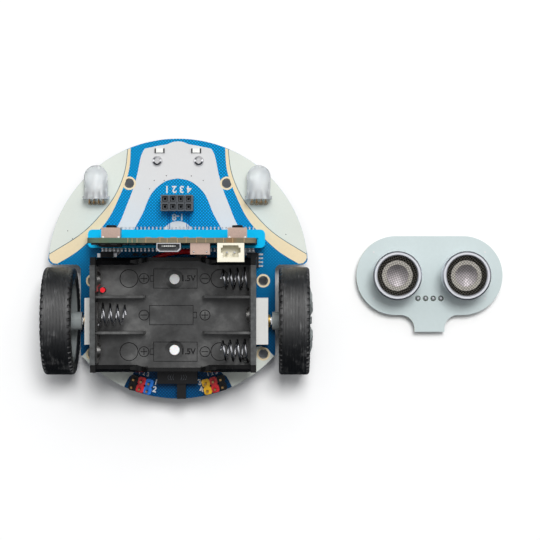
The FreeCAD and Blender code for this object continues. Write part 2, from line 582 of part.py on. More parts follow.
def battery_holder():
    """An open tray for three cells, with end walls, clipping side walls and tapered ribs."""
    top, floor = HOLDER_BOTTOM + HOLDER_H, HOLDER_BOTTOM + HOLDER_FLOOR_T
    tray = box(-HOLDER_X, HOLDER_X, HOLDER_Y0, HOLDER_Y1, HOLDER_BOTTOM, floor)
    clip_x0, clip_x1 = 8.6, HOLDER_X - END_WALL_T + 0.1
    for sx in (-1, 1):
        end = box(sx * HOLDER_X, sx * (HOLDER_X - END_WALL_T), HOLDER_Y0, HOLDER_Y1,
                  HOLDER_BOTTOM, top - 1.5)
        crown = box(sx * HOLDER_X, sx * (HOLDER_X - END_WALL_T), HOLDER_Y0 + 2.5, HOLDER_Y1 - 2.5,
                    HOLDER_BOTTOM, top)
        tray = tray.fuse(end).fuse(crown)
        for sy in (-1, 1):
            x0, x1 = sorted((sx * clip_x0, sx * clip_x1))
            clip = side_wall(sy, x0, x1)
            ramp_r = 5.0
            corner = V(sx * clip_x0, 0, top)
            block = box(corner.x, corner.x + sx * ramp_r, HOLDER_Y0 - 1, HOLDER_Y1 + 1,
                        top - 2 - ramp_r, top)
            wheel = rod(ramp_r, V(corner.x + sx * ramp_r, HOLDER_Y0 - 1, top - 2 - ramp_r),
                        V(corner.x + sx * ramp_r, HOLDER_Y1 + 1, top - 2 - ramp_r))
            tray = tray.fuse(clip.cut(block.cut(wheel)))
        for rib_y in (BAY_MID_Y + BAY_PITCH / 2, BAY_MID_Y - BAY_PITCH / 2):
            side = [(sx * (HOLDER_X - 1), floor - 0.5), (sx * (HOLDER_X - 1), top - 2.5),
                    (sx * 17.0, top - 2.8), (sx * 9.8, floor + 5.0), (sx * 9.2, floor + 4.2),
                    (sx * 9.2, floor - 0.5)]
            rib = prism([(x, rib_y - RIB_T / 2, z) for x, z in side], (0, RIB_T, 0))
            tray = tray.fuse(rib)
    low_lip = [box(-clip_x0 - 0.5, clip_x0 + 0.5, y, y + sy * 1.2, HOLDER_BOTTOM, floor + 0.8)
               for y, sy in ((HOLDER_Y0, 1), (HOLDER_Y1, -1))]
    for lip in low_lip:
        tray = tray.fuse(lip)
    cuts = []
    for _, y in HOLDER_SCREWS:
        cuts.append(Part.makeCone(3.1, 1.85, 0.75, V(0, y, floor + 0.01), V(0, 0, -1)))
        cuts.append(rod(1.85, V(0, y, floor - 1.2), V(0, y, floor)))
        cuts.append(rod(M2_CLEAR_R, V(0, y, HOLDER_BOTTOM - 1), V(0, y, floor)))
    for x, y in ((-22.9, -6.9), (22.9, -29.2)):
        cuts.append(rod(1.0, V(x, y, HOLDER_BOTTOM - 1), V(x, y, floor + 1)))
    for sx in (-1, 1):
        cuts += [rod(2.9, V(sx * 14.6, y, floor - 0.12), V(sx * 14.6, y, floor + 0.5))
                 for y in (BAY_YS[0], BAY_YS[2])]
    tray = drilled(tray, cuts).removeSplitter()
    tray.translate(V(HOLDER_MID_X, 0, 0))
    save("battery_holder", tray)


def battery_contacts():
    """Nickel plates on the end walls, with a raised boss wherever a cell's positive end sits."""
    wall, thick = HOLDER_X - END_WALL_T, PLATE_STOCK
    z0, z1 = CELL_Z - 4.2, CELL_Z + 3.6
    plates = []
    spans = [(-1, BAY_YS[0], BAY_YS[0]), (-1, BAY_YS[2], BAY_YS[1]),
             (1, BAY_YS[1], BAY_YS[0]), (1, BAY_YS[2], BAY_YS[2])]
    rib_half = 0.55
    for sx, low_y, high_y in spans:
        plate = box(sx * wall, sx * (wall - thick), low_y - 4.0, high_y + 4.0, z0, z1)
        if high_y > low_y:
            rib_y = (high_y + low_y) / 2
            gap = box(sx * (wall + 1), sx * (wall - 1), rib_y - rib_half, rib_y + rib_half, z0 - 1, z1 + 1)
            left_and_right = plate.cut(gap)
            plates += left_and_right.Solids
        else:
            plates.append(plate)
    with_boss = []
    for plate in plates:
        centre = plate.BoundBox.Center
        sx = math.copysign(1, centre.x)
        bay = min(range(3), key=lambda k: abs(BAY_YS[k] - centre.y))
        if (bay, int(sx)) not in SPRINGS:
            face = sx * (wall - thick)
            boss = Part.makeCone(2.6, 1.7, 1.0, V(face, BAY_YS[bay], CELL_Z), V(-sx, 0, 0))
            plate = plate.fuse(boss)
        plate.translate(V(HOLDER_MID_X, 0, 0))
        with_boss.append(plate)
    save("battery_contacts", *with_boss)


def coil_spring():
    """A coil that widens up from its tip at the origin, laid out a third of a turn at a time."""
    pieces = round(3 * SPRING_L / SPRING_PITCH)
    rise = SPRING_L / pieces
    turn = 360 * rise / SPRING_PITCH
    grow = (SPRING_R - SPRING_TIP_R) / pieces
    taper = math.atan2(grow, rise)
    slant = 1 / math.cos(taper)      # a tapered helix takes its pitch and height along the cone
    edges = []
    for k in range(pieces):
        radius = SPRING_TIP_R + k * grow
        edge = Part.makeHelix(SPRING_PITCH * slant, rise * slant, radius, math.degrees(taper)).Edges[0]
        edge.Placement = FreeCAD.Placement(V(0, 0, k * rise), FreeCAD.Rotation(V(0, 0, 1), k * turn))
        edges.append(edge)
    section = Part.Wire(Part.makeCircle(SPRING_WIRE_R, V(SPRING_TIP_R, 0, 0), V(0, 1, 0)))
    return Part.Wire(edges).makePipeShell([section], True, True)


def battery_springs():
    """Three coil springs for the cells' negative ends."""
    tip = HOLDER_X - END_WALL_T - PLATE_STOCK - SPRING_WIRE_R - SPRING_L
    springs = [place(coil_spring(), (HOLDER_MID_X + sx * tip, BAY_YS[bay], CELL_Z), (sx, 0, 0))
               for bay, sx in SPRINGS]
    save("battery_springs", *springs)


def holder_fixings():
    """Two nylon standoffs between board and holder, each with a screw at both ends."""
    floor = HOLDER_BOTTOM + HOLDER_FLOOR_T
    posts, screws = [], []
    for x, y in HOLDER_SCREWS:
        post = rod(2.5, V(x, y, BOARD_TOP), V(x, y, HOLDER_BOTTOM))
        posts.append(post.cut(rod(1.0, V(x, y, BOARD_TOP - 1), V(x, y, HOLDER_BOTTOM + 1))))
        seat = floor - 1.2
        head = rod(1.65, V(x, y, seat), V(x, y, seat + 0.9))
        rim = max(head.Edges, key=lambda e: e.CenterOfMass.z)
        head = head.makeFillet(0.3, [rim])
        screws.append(head.fuse(rod(M2_SHANK_R, V(x, y, seat), V(x, y, seat - 5.0))))
        screws.append(pan_screw(x, y, BOARD_BOTTOM, 5.0, False))
    save("holder_standoffs", *posts)
    save("holder_screws", *screws)


# ---- wires ------------------------------------------------------------------------------
RED_LEAD_R = 0.8
BLACK_LEAD_R = 0.65
MOTOR_LEAD_R = 0.45
PAD_GAP = 0.1             # the leads' ends stand this far above their pads
RED_LEAD = [(-23.4, -6.9, 28.2), (-23.4, -6.9, 22.4), (-19.5, -5.2, 18.4), (-13.2, -0.6, 17.4),
            (-7.2, 3.5, 17.8), (-1.7, 5.2, 18.0), (3.0, 5.6, 17.2), (6.6, 5.0, 15.4),
            (8.8, 3.7, BOARD_TOP + RED_LEAD_R + PAD_GAP)]
# the black lead runs forwards through the gap between the right motor and the holder
OVER_CAN_Z = (BOARD_TOP + GEARBOX_H + HOLDER_BOTTOM) / 2
BLACK_LEAD = [(22.4, -29.2, 28.2), (22.4, -29.2, 22.4), (18.3, -28.6, 19.4), (13.6, -25.8, 21.4),
              (11.6, -21.2, OVER_CAN_Z), (10.8, -13.0, OVER_CAN_Z), (10.3, -8.4, 21.9),
              (10.0, -4.2, 18.4), (10.6, -0.6, 15.2), (12.0, 2.0, BOARD_TOP + BLACK_LEAD_R + PAD_GAP)]
TERMINAL_Y, TERMINAL_Z, TERMINAL_X = 4.4, 1.6, 3.2
MOTOR_PAD_X, MOTOR_PAD_FRONT, MOTOR_PAD_REAR = 6.8, 9.4, 8.2


def motor_lead(sx, side):
    """One motor wire: straight out of an end cap terminal, then down to its pad on the board."""
    y, z = AXLE_Y + side * TERMINAL_Y, AXLE_Z + side * TERMINAL_Z
    pad_y = AXLE_Y + (MOTOR_PAD_FRONT if side > 0 else -MOTOR_PAD_REAR)
    return [(sx * TERMINAL_X, y, z), (sx * 1.6, y, z), (sx * 1.5, y + side * 1.7, z - 1.4),
            (sx * 3.6, y + side * 2.8, BOARD_TOP + 1.5),
            (sx * MOTOR_PAD_X, pad_y, BOARD_TOP + MOTOR_LEAD_R + PAD_GAP)]


def leads():
    """The holder's two leads and the four motor leads, each made whole along its route."""
    red = [tube_route(RED_LEAD, RED_LEAD_R)]
    black = [tube_route(BLACK_LEAD, BLACK_LEAD_R)]
    for sx in (-1, 1):
        red.append(tube_route(motor_lead(sx, 1), MOTOR_LEAD_R))
        black.append(tube_route(motor_lead(sx, -1), MOTOR_LEAD_R))
    save("red_leads", *red)
    save("black_leads", *black)


# ---- gears ------------------------------------------------------------------------------
def gear_blank(teeth, thickness, tooth_at, bore_r=0.0):
    """A spur gear about +Z with one tooth centred at the angle tooth_at, in radians."""
    pressure = math.radians(20)
    pitch_r = GEAR_M * teeth / 2
    base_r = pitch_r * math.cos(pressure)
    tip_r = pitch_r + 0.85 * GEAR_M
    root_r = pitch_r - 1.2 * GEAR_M
    start_r = max(base_r, root_r)
    half_at_pitch = math.pi / (2 * teeth) - GEAR_BACKLASH / 2 / pitch_r

    def involute(radius):
        angle = math.acos(min(1.0, base_r / radius))
        return math.tan(angle) - angle

    def half_width(radius):
        return half_at_pitch + involute(pitch_r) - involute(radius)

    def at(radius, angle):
        return V(radius * math.cos(angle), radius * math.sin(angle), 0)

    mid_r = (start_r + tip_r) / 2
    edges = []
    step = 2 * math.pi / teeth
    for k in range(teeth):
        c = tooth_at + k * step
        low, mid, high = half_width(start_r), half_width(mid_r), half_width(tip_r)
        rise = [at(start_r, c - low), at(mid_r, c - mid), at(tip_r, c - high)]
        fall = [at(tip_r, c + high), at(mid_r, c + mid), at(start_r, c + low)]
        root_a, root_b = at(root_r, c - low), at(root_r, c + low)
        if (root_a - rise[0]).Length > 1e-4:
            edges.append(Part.makeLine(root_a, rise[0]))
        edges.append(Part.Arc(*rise).toShape())
        edges.append(Part.Arc(rise[2], at(tip_r, c), fall[0]).toShape())
        edges.append(Part.Arc(*fall).toShape())
        if (root_b - fall[2]).Length > 1e-4:
            edges.append(Part.makeLine(fall[2], root_b))
        next_a = at(root_r, c + step - low)
        edges.append(Part.Arc(root_b, at(root_r, c + step / 2), next_a).toShape())
    solid = Part.Face(Part.Wire(edges)).extrude(V(0, 0, thickness))
    if bore_r:
        solid = solid.cut(rod(bore_r, V(0, 0, -1), V(0, 0, thickness + 1)))
    return solid


def gear(side, teeth, x0, x1, on_b, tooth_at, bore_r=0.0):
    """A gear on the motor's axis, or on the idler axis B in front of it, between two places in X."""
    solid = gear_blank(teeth, x1 - x0, tooth_at, bore_r)
    low_x = x0 if side > 0 else -x1
    centre = V(low_x, AXLE_Y + (GEAR_A if on_b else 0), AXLE_Z)
    solid.Placement = FreeCAD.Placement(centre, FreeCAD.Rotation(V(1, 1, 1), 120))
    return solid


def axle_rod(side, radius, x0, x1, on_b=False):
    """A round bar on the motor's axis or on axis B."""
    y = AXLE_Y + (GEAR_A if on_b else 0)
    return rod(radius, V(side * x0, y, AXLE_Z), V(side * x1, y, AXLE_Z))


TOWARDS_B, TOWARDS_A = 0.0, math.pi


def gear_train(side, name):
    """Rotor pinion, three idler clusters and the output shaft's gear: four equal stages."""
    gap_to_a = TOWARDS_A + math.pi / WHEEL_T
    gap_to_b = TOWARDS_B + math.pi / WHEEL_T
    bore = GEAR_BORE_R
    rotor = gear(side, PINION_T, 21.2, 22.7, False, TOWARDS_B).fuse(axle_rod(side, 0.5, 4.6, 22.7))
    core = axle_rod(side, 3.3, 8.4, 16.6)
    slots = [core_slot(side, k) for k in range(3)]
    rotor = rotor.fuse(drilled(core, slots)).fuse(axle_rod(side, 1.2, 6.0, 7.6))
    save(f"{name}_motor_rotor", rotor)
    first = gear(side, WHEEL_T, 21.3, 22.6, True, gap_to_a, bore).fuse(
        gear(side, PINION_T, 22.6, 24.4, True, TOWARDS_A, bore))
    save(f"{name}_gear_1", first)
    second = gear(side, WHEEL_T, 23.0, 24.2, False, gap_to_b, bore).fuse(
        gear(side, PINION_T, 24.2, 26.0, False, TOWARDS_B, bore))
    save(f"{name}_gear_2", second)
    third = gear(side, WHEEL_T, 24.7, 25.8, True, gap_to_a, bore).fuse(
        gear(side, PINION_T, 25.8, 28.2, True, TOWARDS_A, bore))
    save(f"{name}_gear_3", third)
    output = gear(side, WHEEL_T, 26.3, 28.2, False, gap_to_b)
    output = output.fuse(axle_rod(side, GEAR_PIN_R, 23.0, 26.4)).fuse(axle_rod(side, SHAFT_R, 28.2, 41.4))
    flat = box(side * 30.6, side * 42, AXLE_Y - 2, AXLE_Y + 2, AXLE_Z + 1.0, AXLE_Z + 2)
    save(f"{name}_output_shaft", output.cut(flat))


def core_slot(side, k):
    """One of the rotor core's three winding slots."""
    slot = box(side * 8, side * 17, -0.7, 0.7, 1.5, 4)
    turn = FreeCAD.Rotation(V(1, 0, 0), 120 * k)
    slot.Placement = FreeCAD.Placement(V(0, AXLE_Y, AXLE_Z), turn)
    return slot


def flat_sided(side, radius, half_h, x0, x1):
    """A bar that is round at its sides and flat above and below, about the motor's axis."""
    bar = axle_rod(side, radius, x0, x1)
    return bar.common(box(side * (x0 - 1), side * (x1 + 1), AXLE_Y - radius, AXLE_Y + radius,
                          AXLE_Z - half_h, AXLE_Z + half_h))


def motors():
    """Both gearmotors' standing parts: cans, end caps, gearbox plates, pins and pillars."""
    cans, caps, plates, pins = [], [], [], []
    half_h = GEARBOX_H / 2
    for side in (-1, 1):
        can = flat_sided(side, CAN_R, half_h, CAN_X0, GEARBOX_X0)
        hollow = flat_sided(side, CAN_R - CAN_WALL, half_h - CAN_WALL, CAN_X0 - 1,
                            GEARBOX_X0 - CAN_WALL)
        cans.append(drilled(can, [hollow, axle_rod(side, 0.6, GEARBOX_X0 - 2, GEARBOX_X0 + 1)]))
        cap = flat_sided(side, CAN_R - CAN_WALL - 0.02, half_h - CAN_WALL - 0.02, 4.2, CAN_X0 + 0.3)
        caps.append(cap.cut(axle_rod(side, 0.6, 3, 7)))
        for s in (-1, 1):
            y, z = AXLE_Y + s * TERMINAL_Y, AXLE_Z + s * TERMINAL_Z
            caps.append(box(side * 4.2, side * TERMINAL_X, y - 0.7, y + 0.7, z - 0.15, z + 0.15))
        rear = box(side * GEARBOX_X0, side * (GEARBOX_X0 + PLATE_T), AXLE_Y - 6, AXLE_Y + 6,
                   AXLE_Z - half_h, AXLE_Z + half_h)
        front = box(side * (GEARBOX_X1 - PLATE_T), side * GEARBOX_X1, AXLE_Y - 6, AXLE_Y + 6,
                    AXLE_Z - half_h, AXLE_Z + half_h)
        front = front.fuse(axle_rod(side, 2.1, GEARBOX_X1 - 0.1, GEARBOX_X1 + 0.9))
        front = front.cut(axle_rod(side, SHAFT_R + 0.04, GEARBOX_X1 - 2, GEARBOX_X1 + 2))
        plates += [rear.cut(axle_rod(side, 0.6, GEARBOX_X0 - 1, GEARBOX_X0 + 2)), front]
        pins.append(axle_rod(side, GEAR_PIN_R, GEARBOX_X0 + PLATE_T, GEARBOX_X1 - PLATE_T, True))
        for sy in (-1, 1):
            y, z = AXLE_Y + sy * 5.1, AXLE_Z - sy * 4.1
            pins.append(rod(0.7, V(side * (GEARBOX_X0 + PLATE_T), y, z),
                            V(side * (GEARBOX_X1 - PLATE_T), y, z)))
    save("motor_cans", *cans)
    save("motor_end_caps", *caps)
    save("gearbox_plates", *plates)
    save("gearbox_pins", *pins)


def motor_brackets():
    """A white saddle over each gearbox, with two low ears screwed from under the board."""
    brackets = []
    inner = GEARBOX_W / 2 + 0.05
    for side in (-1, 1):
        x0, x1 = side * BRACKET_IN_X, side * BRACKET_OUT_X
        saddle = box(x0, x1, AXLE_Y - BRACKET_W / 2, AXLE_Y + BRACKET_W / 2, BOARD_TOP, BRACKET_TOP)
        saddle = saddle.cut(box(side * 10, side * 40, AXLE_Y - inner, AXLE_Y + inner, 0,
                                BOARD_TOP + GEARBOX_H + 0.05))
        for sy in (-1, 1):
            y_out = AXLE_Y + sy * (EAR_Y + 2.4)
            ear = box(x0, side * 25.0, AXLE_Y + sy * (BRACKET_W / 2 - 0.5), y_out, BOARD_TOP,
                      BOARD_TOP + 3.0)
            hole = rod(M2_SHANK_R + 0.02, V(side * EAR_X, AXLE_Y + sy * EAR_Y, BOARD_TOP - 1),
                       V(side * EAR_X, AXLE_Y + sy * EAR_Y, BOARD_TOP + 4))
            saddle = saddle.fuse(ear.cut(hole))
        brackets.append(saddle)
    save("motor_brackets", *brackets)


# ---- wheels -----------------------------------------------------------------------------
RIM_R = 13.6
SPOKES = 5
SPOKE_T, SPOKE_W = 1.0, 2.4


def wheel_hub(side, name):
    """The moulded wheel: a rim tube, five bowed spokes near its outer side and a long collar."""
    x_in, x_out = TYRE_IN_X + 0.6, TYRE_IN_X + TYRE_W - 0.6
    rim = axle_rod(side, RIM_R, x_in, x_out).cut(axle_rod(side, RIM_R - 1.5, x_in - 1, x_out + 1))
    collar = axle_rod(side, 2.95, 30.9, x_out - 0.2)
    web = axle_rod(side, RIM_R - 1.4, x_in + 3.4, x_in + 4.4)
    windows = []
    for k in range(SPOKES):
        turn = FreeCAD.Rotation(V(1, 0, 0), 360 / SPOKES * k)
        window = rod(2.6, V(side * 30, 0, 8.0), V(side * 44, 0, 8.0))
        window.Placement = FreeCAD.Placement(V(0, AXLE_Y, AXLE_Z), turn)
        windows.append(window)
    hub = rim.fuse(collar).fuse(drilled(web, windows))
    for k in range(SPOKES):
        turn = FreeCAD.Rotation(V(1, 0, 0), 360 / SPOKES * (k + 0.5))
        bow = [(-0.6, 2.0), (0.9, 4.6), (1.6, 7.0), (1.6, 8.6), (0.9, 11.0), (-0.3, RIM_R - 0.6)]
        strap = [(x_out + out, r) for out, r in bow]
        strap += [(x_out + out - SPOKE_T, r) for out, r in reversed(bow)]
        spoke = prism([(side * x, -SPOKE_W / 2, r) for x, r in strap], (0, SPOKE_W, 0))
        spoke.Placement = FreeCAD.Placement(V(0, AXLE_Y, AXLE_Z), turn)
        hub = hub.fuse(spoke)
    bore = axle_rod(side, SHAFT_R + 0.01, 30, x_out - 0.8)
    flat = box(side * 30, side * 44, AXLE_Y - 2, AXLE_Y + 2, AXLE_Z + 1.01, AXLE_Z + 2)
    save(f"{name}_wheel_hub", hub.cut(bore.cut(flat)))


def tyre(side, name):
    """A rubber ring with rounded shoulders and fine grooves round its tread."""
    half, shoulder = TYRE_W / 2, 1.1
    centre_x = side * (TYRE_IN_X + half)
    section = [(RIM_R + 0.0, -half + 0.7), (RIM_R + 1.0, -half), (WHEEL_R - shoulder, -half),
               (WHEEL_R - 0.3, -half + 0.35), (WHEEL_R, -half + shoulder)]
    for k in range(-3, 4):
        g = k * 1.05
        section += [(WHEEL_R, g - 0.12), (WHEEL_R - 0.15, g), (WHEEL_R, g + 0.12)]
    section += [(r, -h) for r, h in reversed(section[:5])]
    save(f"{name}_tyre", lathe(section, (centre_x, AXLE_Y, AXLE_Z), (1, 0, 0)))


# ---- sonar module -----------------------------------------------------------------------
def sonar_board():
    """The mask-shaped board: a stadium with a short flared neck."""
    r = SONAR_BODY_H / 2
    side = SONAR_BODY_W / 2 - r
    neck, flare = SONAR_NECK_W / 2, 4.6
    x, y, z = SONAR_X, SONAR_Y, SONAR_BACK

    def at(px, py):
        return V(x + px, y + py, z)

    def flare_arc(s):
        end = at(s * neck, -r - flare)
        begin = at(s * (neck + flare), -r)
        k = flare * (1 - math.sqrt(0.5))
        middle = at(s * (neck + k), -r - k)
        return begin, middle, end

    rb, rm, re = flare_arc(1)
    lb, lm, le = flare_arc(-1)
    edges = [Part.makeLine(at(-side, r), at(side, r)),
             Part.Arc(at(side, r), at(side + r, 0), at(side, -r)).toShape(),
             Part.makeLine(at(side, -r), rb), Part.Arc(rb, rm, re).toShape(),
             Part.makeLine(re, at(neck, SONAR_NECK_END)),
             Part.makeLine(at(neck, SONAR_NECK_END), at(-neck, SONAR_NECK_END)),
             Part.makeLine(at(-neck, SONAR_NECK_END), le), Part.Arc(le, lm, lb).toShape(),
             Part.makeLine(lb, at(-side, -r)),
             Part.Arc(at(-side, -r), at(-side - r, 0), at(-side, r)).toShape()]
    board = Part.Face(Part.Wire(edges)).extrude(V(0, 0, BOARD_T))
    holes = [rod(0.5, at((k - 1.5) * PITCH, SONAR_PIN_Y) - V(0, 0, 1),
                 at((k - 1.5) * PITCH, SONAR_PIN_Y) + V(0, 0, 3)) for k in range(4)]
    save("sonar_board", drilled(board, holes))


def sonar_eyes():
    """Each eye is an open can with a rolled rim, a dished cone on a post and a mesh screen."""
    cans, cones, meshes = [], [], []
    for s in (-1, 1):
        centre = (SONAR_X + s * EYE_SPACING / 2, SONAR_Y, SONAR_TOP)
        can = [(0, 0), (EYE_R - 0.5, 0), (EYE_R - 0.5, EYE_H - 2.2), (EYE_R, EYE_H - 1.8),
               (EYE_R, EYE_H - 0.5), (EYE_R - 0.45, EYE_H), (EYE_OPENING_R + 0.3, EYE_H),
               (EYE_OPENING_R, EYE_H - 0.3), (EYE_OPENING_R, 1.6), (0, 1.6)]
        cans.append(lathe(can, centre, (0, 0, 1)))
        cone = [(0, 1.6), (1.6, 1.6), (1.6, 6.2), (2.4, 6.6), (5.0, 9.4), (5.0, 9.8), (4.5, 9.8),
                (1.4, 7.2), (0, 7.0)]
        cones.append(lathe(cone, centre, (0, 0, 1)))
        mesh = [(0, EYE_H - 1.15), (EYE_OPENING_R, EYE_H - 1.15), (EYE_OPENING_R, EYE_H - 0.85),
                (0, EYE_H - 0.85)]
        meshes.append(lathe(mesh, centre, (0, 0, 1)))
    save("sonar_eye_cans", *cans)
    save("sonar_eye_cones", *cones)
    save("sonar_eye_screens", *meshes)


def sonar_back_parts():
    """A right-angle pin header, a crystal and two chips on the back of the sonar board."""
    x, y, back = SONAR_X, SONAR_Y, SONAR_BACK
    body_y1 = y + SONAR_PIN_Y - 0.9
    body = box(x - 2 * PITCH, x + 2 * PITCH, body_y1 - PITCH, body_y1, 0, back)
    pins, half = [], PIN_W / 2
    pin_z = back - PITCH / 2
    for k in range(4):
        px = x + (k - 1.5) * PITCH
        py = y + SONAR_PIN_Y
        upright = box(px - half, px + half, py - half, py + half, pin_z - half, SONAR_TOP + 0.5)
        level = box(px - half, px + half, body_y1 - PITCH - 6.0, py - half, pin_z - half, pin_z + half)
        pins.append(upright.fuse(level))
    save("sonar_header", drilled(body, pins))
    save("sonar_header_pins", *pins)
    crystal = box(x - 5.4, x + 5.4, y + 6.2, y + 10.4, 0, back)
    crystal = round_upright(crystal, 2.0, lambda p: True)
    chips = [box(x + s * 13.0 - 4.3, x + s * 13.0 + 4.3, y - 1.95, y + 1.95, back - 1.6, back)
             for s in (-1, 1)]
    save("sonar_chips", crystal, *chips)


def main():
    """Writes every node."""
    os.makedirs("parts", exist_ok=True)
    base_board()
    machine_screws()
    header_pins()
    port_strips()
    sensor_socket()
    edge_connector()
    controller_board()
    card_buttons()
    usb_socket()
    battery_socket()
    controller_chips()
    headlights()
    board_chips()
    underside_lights_and_sensors()
    power_switch()
    caster()
    battery_holder()
    battery_contacts()
    battery_springs()
    holder_fixings()
    leads()
    motors()
    motor_brackets()
    for side, name in ((-1, "left"), (1, "right")):
        gear_train(side, name)
        wheel_hub(side, name)
        tyre(side, name)
    sonar_board()
    sonar_eyes()
    sonar_back_parts()


main()
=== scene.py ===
"""Looks for the two wheel robot car: materials, printed artwork, tyres, meshes and small details.

Positions are worked out in millimetres in the car's own frame and written in metres.
"""
import math

import bpy
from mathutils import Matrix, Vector


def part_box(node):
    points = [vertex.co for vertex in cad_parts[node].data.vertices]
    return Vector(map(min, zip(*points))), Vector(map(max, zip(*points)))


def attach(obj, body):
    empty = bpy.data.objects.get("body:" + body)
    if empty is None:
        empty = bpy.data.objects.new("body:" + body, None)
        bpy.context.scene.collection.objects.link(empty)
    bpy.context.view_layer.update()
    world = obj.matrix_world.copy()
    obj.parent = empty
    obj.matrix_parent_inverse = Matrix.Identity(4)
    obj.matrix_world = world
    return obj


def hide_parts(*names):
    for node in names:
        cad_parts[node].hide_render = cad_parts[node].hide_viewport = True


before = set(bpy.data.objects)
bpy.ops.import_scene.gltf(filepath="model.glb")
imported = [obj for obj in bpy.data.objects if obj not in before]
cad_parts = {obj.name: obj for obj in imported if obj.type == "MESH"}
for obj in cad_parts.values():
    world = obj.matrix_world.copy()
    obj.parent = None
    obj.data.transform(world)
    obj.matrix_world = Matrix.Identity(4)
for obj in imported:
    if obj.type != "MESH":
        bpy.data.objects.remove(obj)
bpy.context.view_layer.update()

MM = 0.001


def node_box(node):
    """A CAD node's lowest and highest corners, in millimetres."""
    low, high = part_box(node)
    return low / MM, high / MM


# ---- places read from the frame ---------------------------------------------------------
BOARD_LOW, BOARD_HIGH = node_box("base_board")
BOARD_R = BOARD_HIGH.y - 0.01          # artwork runs out to the board's edge
BOARD_TOP = BOARD_HIGH.z
BOARD_BOTTOM = BOARD_LOW.z
INK = 0.03                             # thickness of a printed layer
HOLDER_LOW, HOLDER_HIGH = node_box("battery_holder")
HOLDER_MID = (HOLDER_LOW + HOLDER_HIGH) / 2
CARD_LOW, CARD_HIGH = node_box("controller_board")
M3_SPOTS = [(sx * 28, y) for sx in (-1, 1) for y in (-28, -4)] + [(-16, 28), (16, 28)]
M3_R = 1.6
PAD_R = 2.2                            # outside of the ring round an M3 hole
PRINT_GAP_R = 2.15                     # the wing's print stops just under that ring
PIN_PITCH = 2.54
SOCKET_Y = 21.3
LAMP_X = 26.5
LEAD_Y = 21.5
LEAD_OFFSETS = (-2.25, -0.75, 0.75, 2.25)
LEAD_SPOTS = [(sx * LAMP_X + dx, LEAD_Y) for sx in (-1, 1) for dx in LEAD_OFFSETS]
PORT_X, PORT_Y, PORT_TURN = 12, -38, 15
SENSOR_Y = 26.0
SENSOR_WINDOWS = (-10.4, -5.6, 5.6, 10.4)
BUTTON_X = 19.9


# ---- shaders ----------------------------------------------------------------------------
def rgb(r, g, b):
    """A screen colour, 0 to 255 each, as a linear RGBA."""
    def linear(c):
        c /= 255
        return c / 12.92 if c <= 0.04045 else ((c + 0.055) / 1.055) ** 2.4
    return (linear(r), linear(g), linear(b), 1.0)


def scaled(colour, k):
    """A colour k times as bright."""
    return tuple(min(1.0, c * k) for c in colour[:3]) + (1.0,)


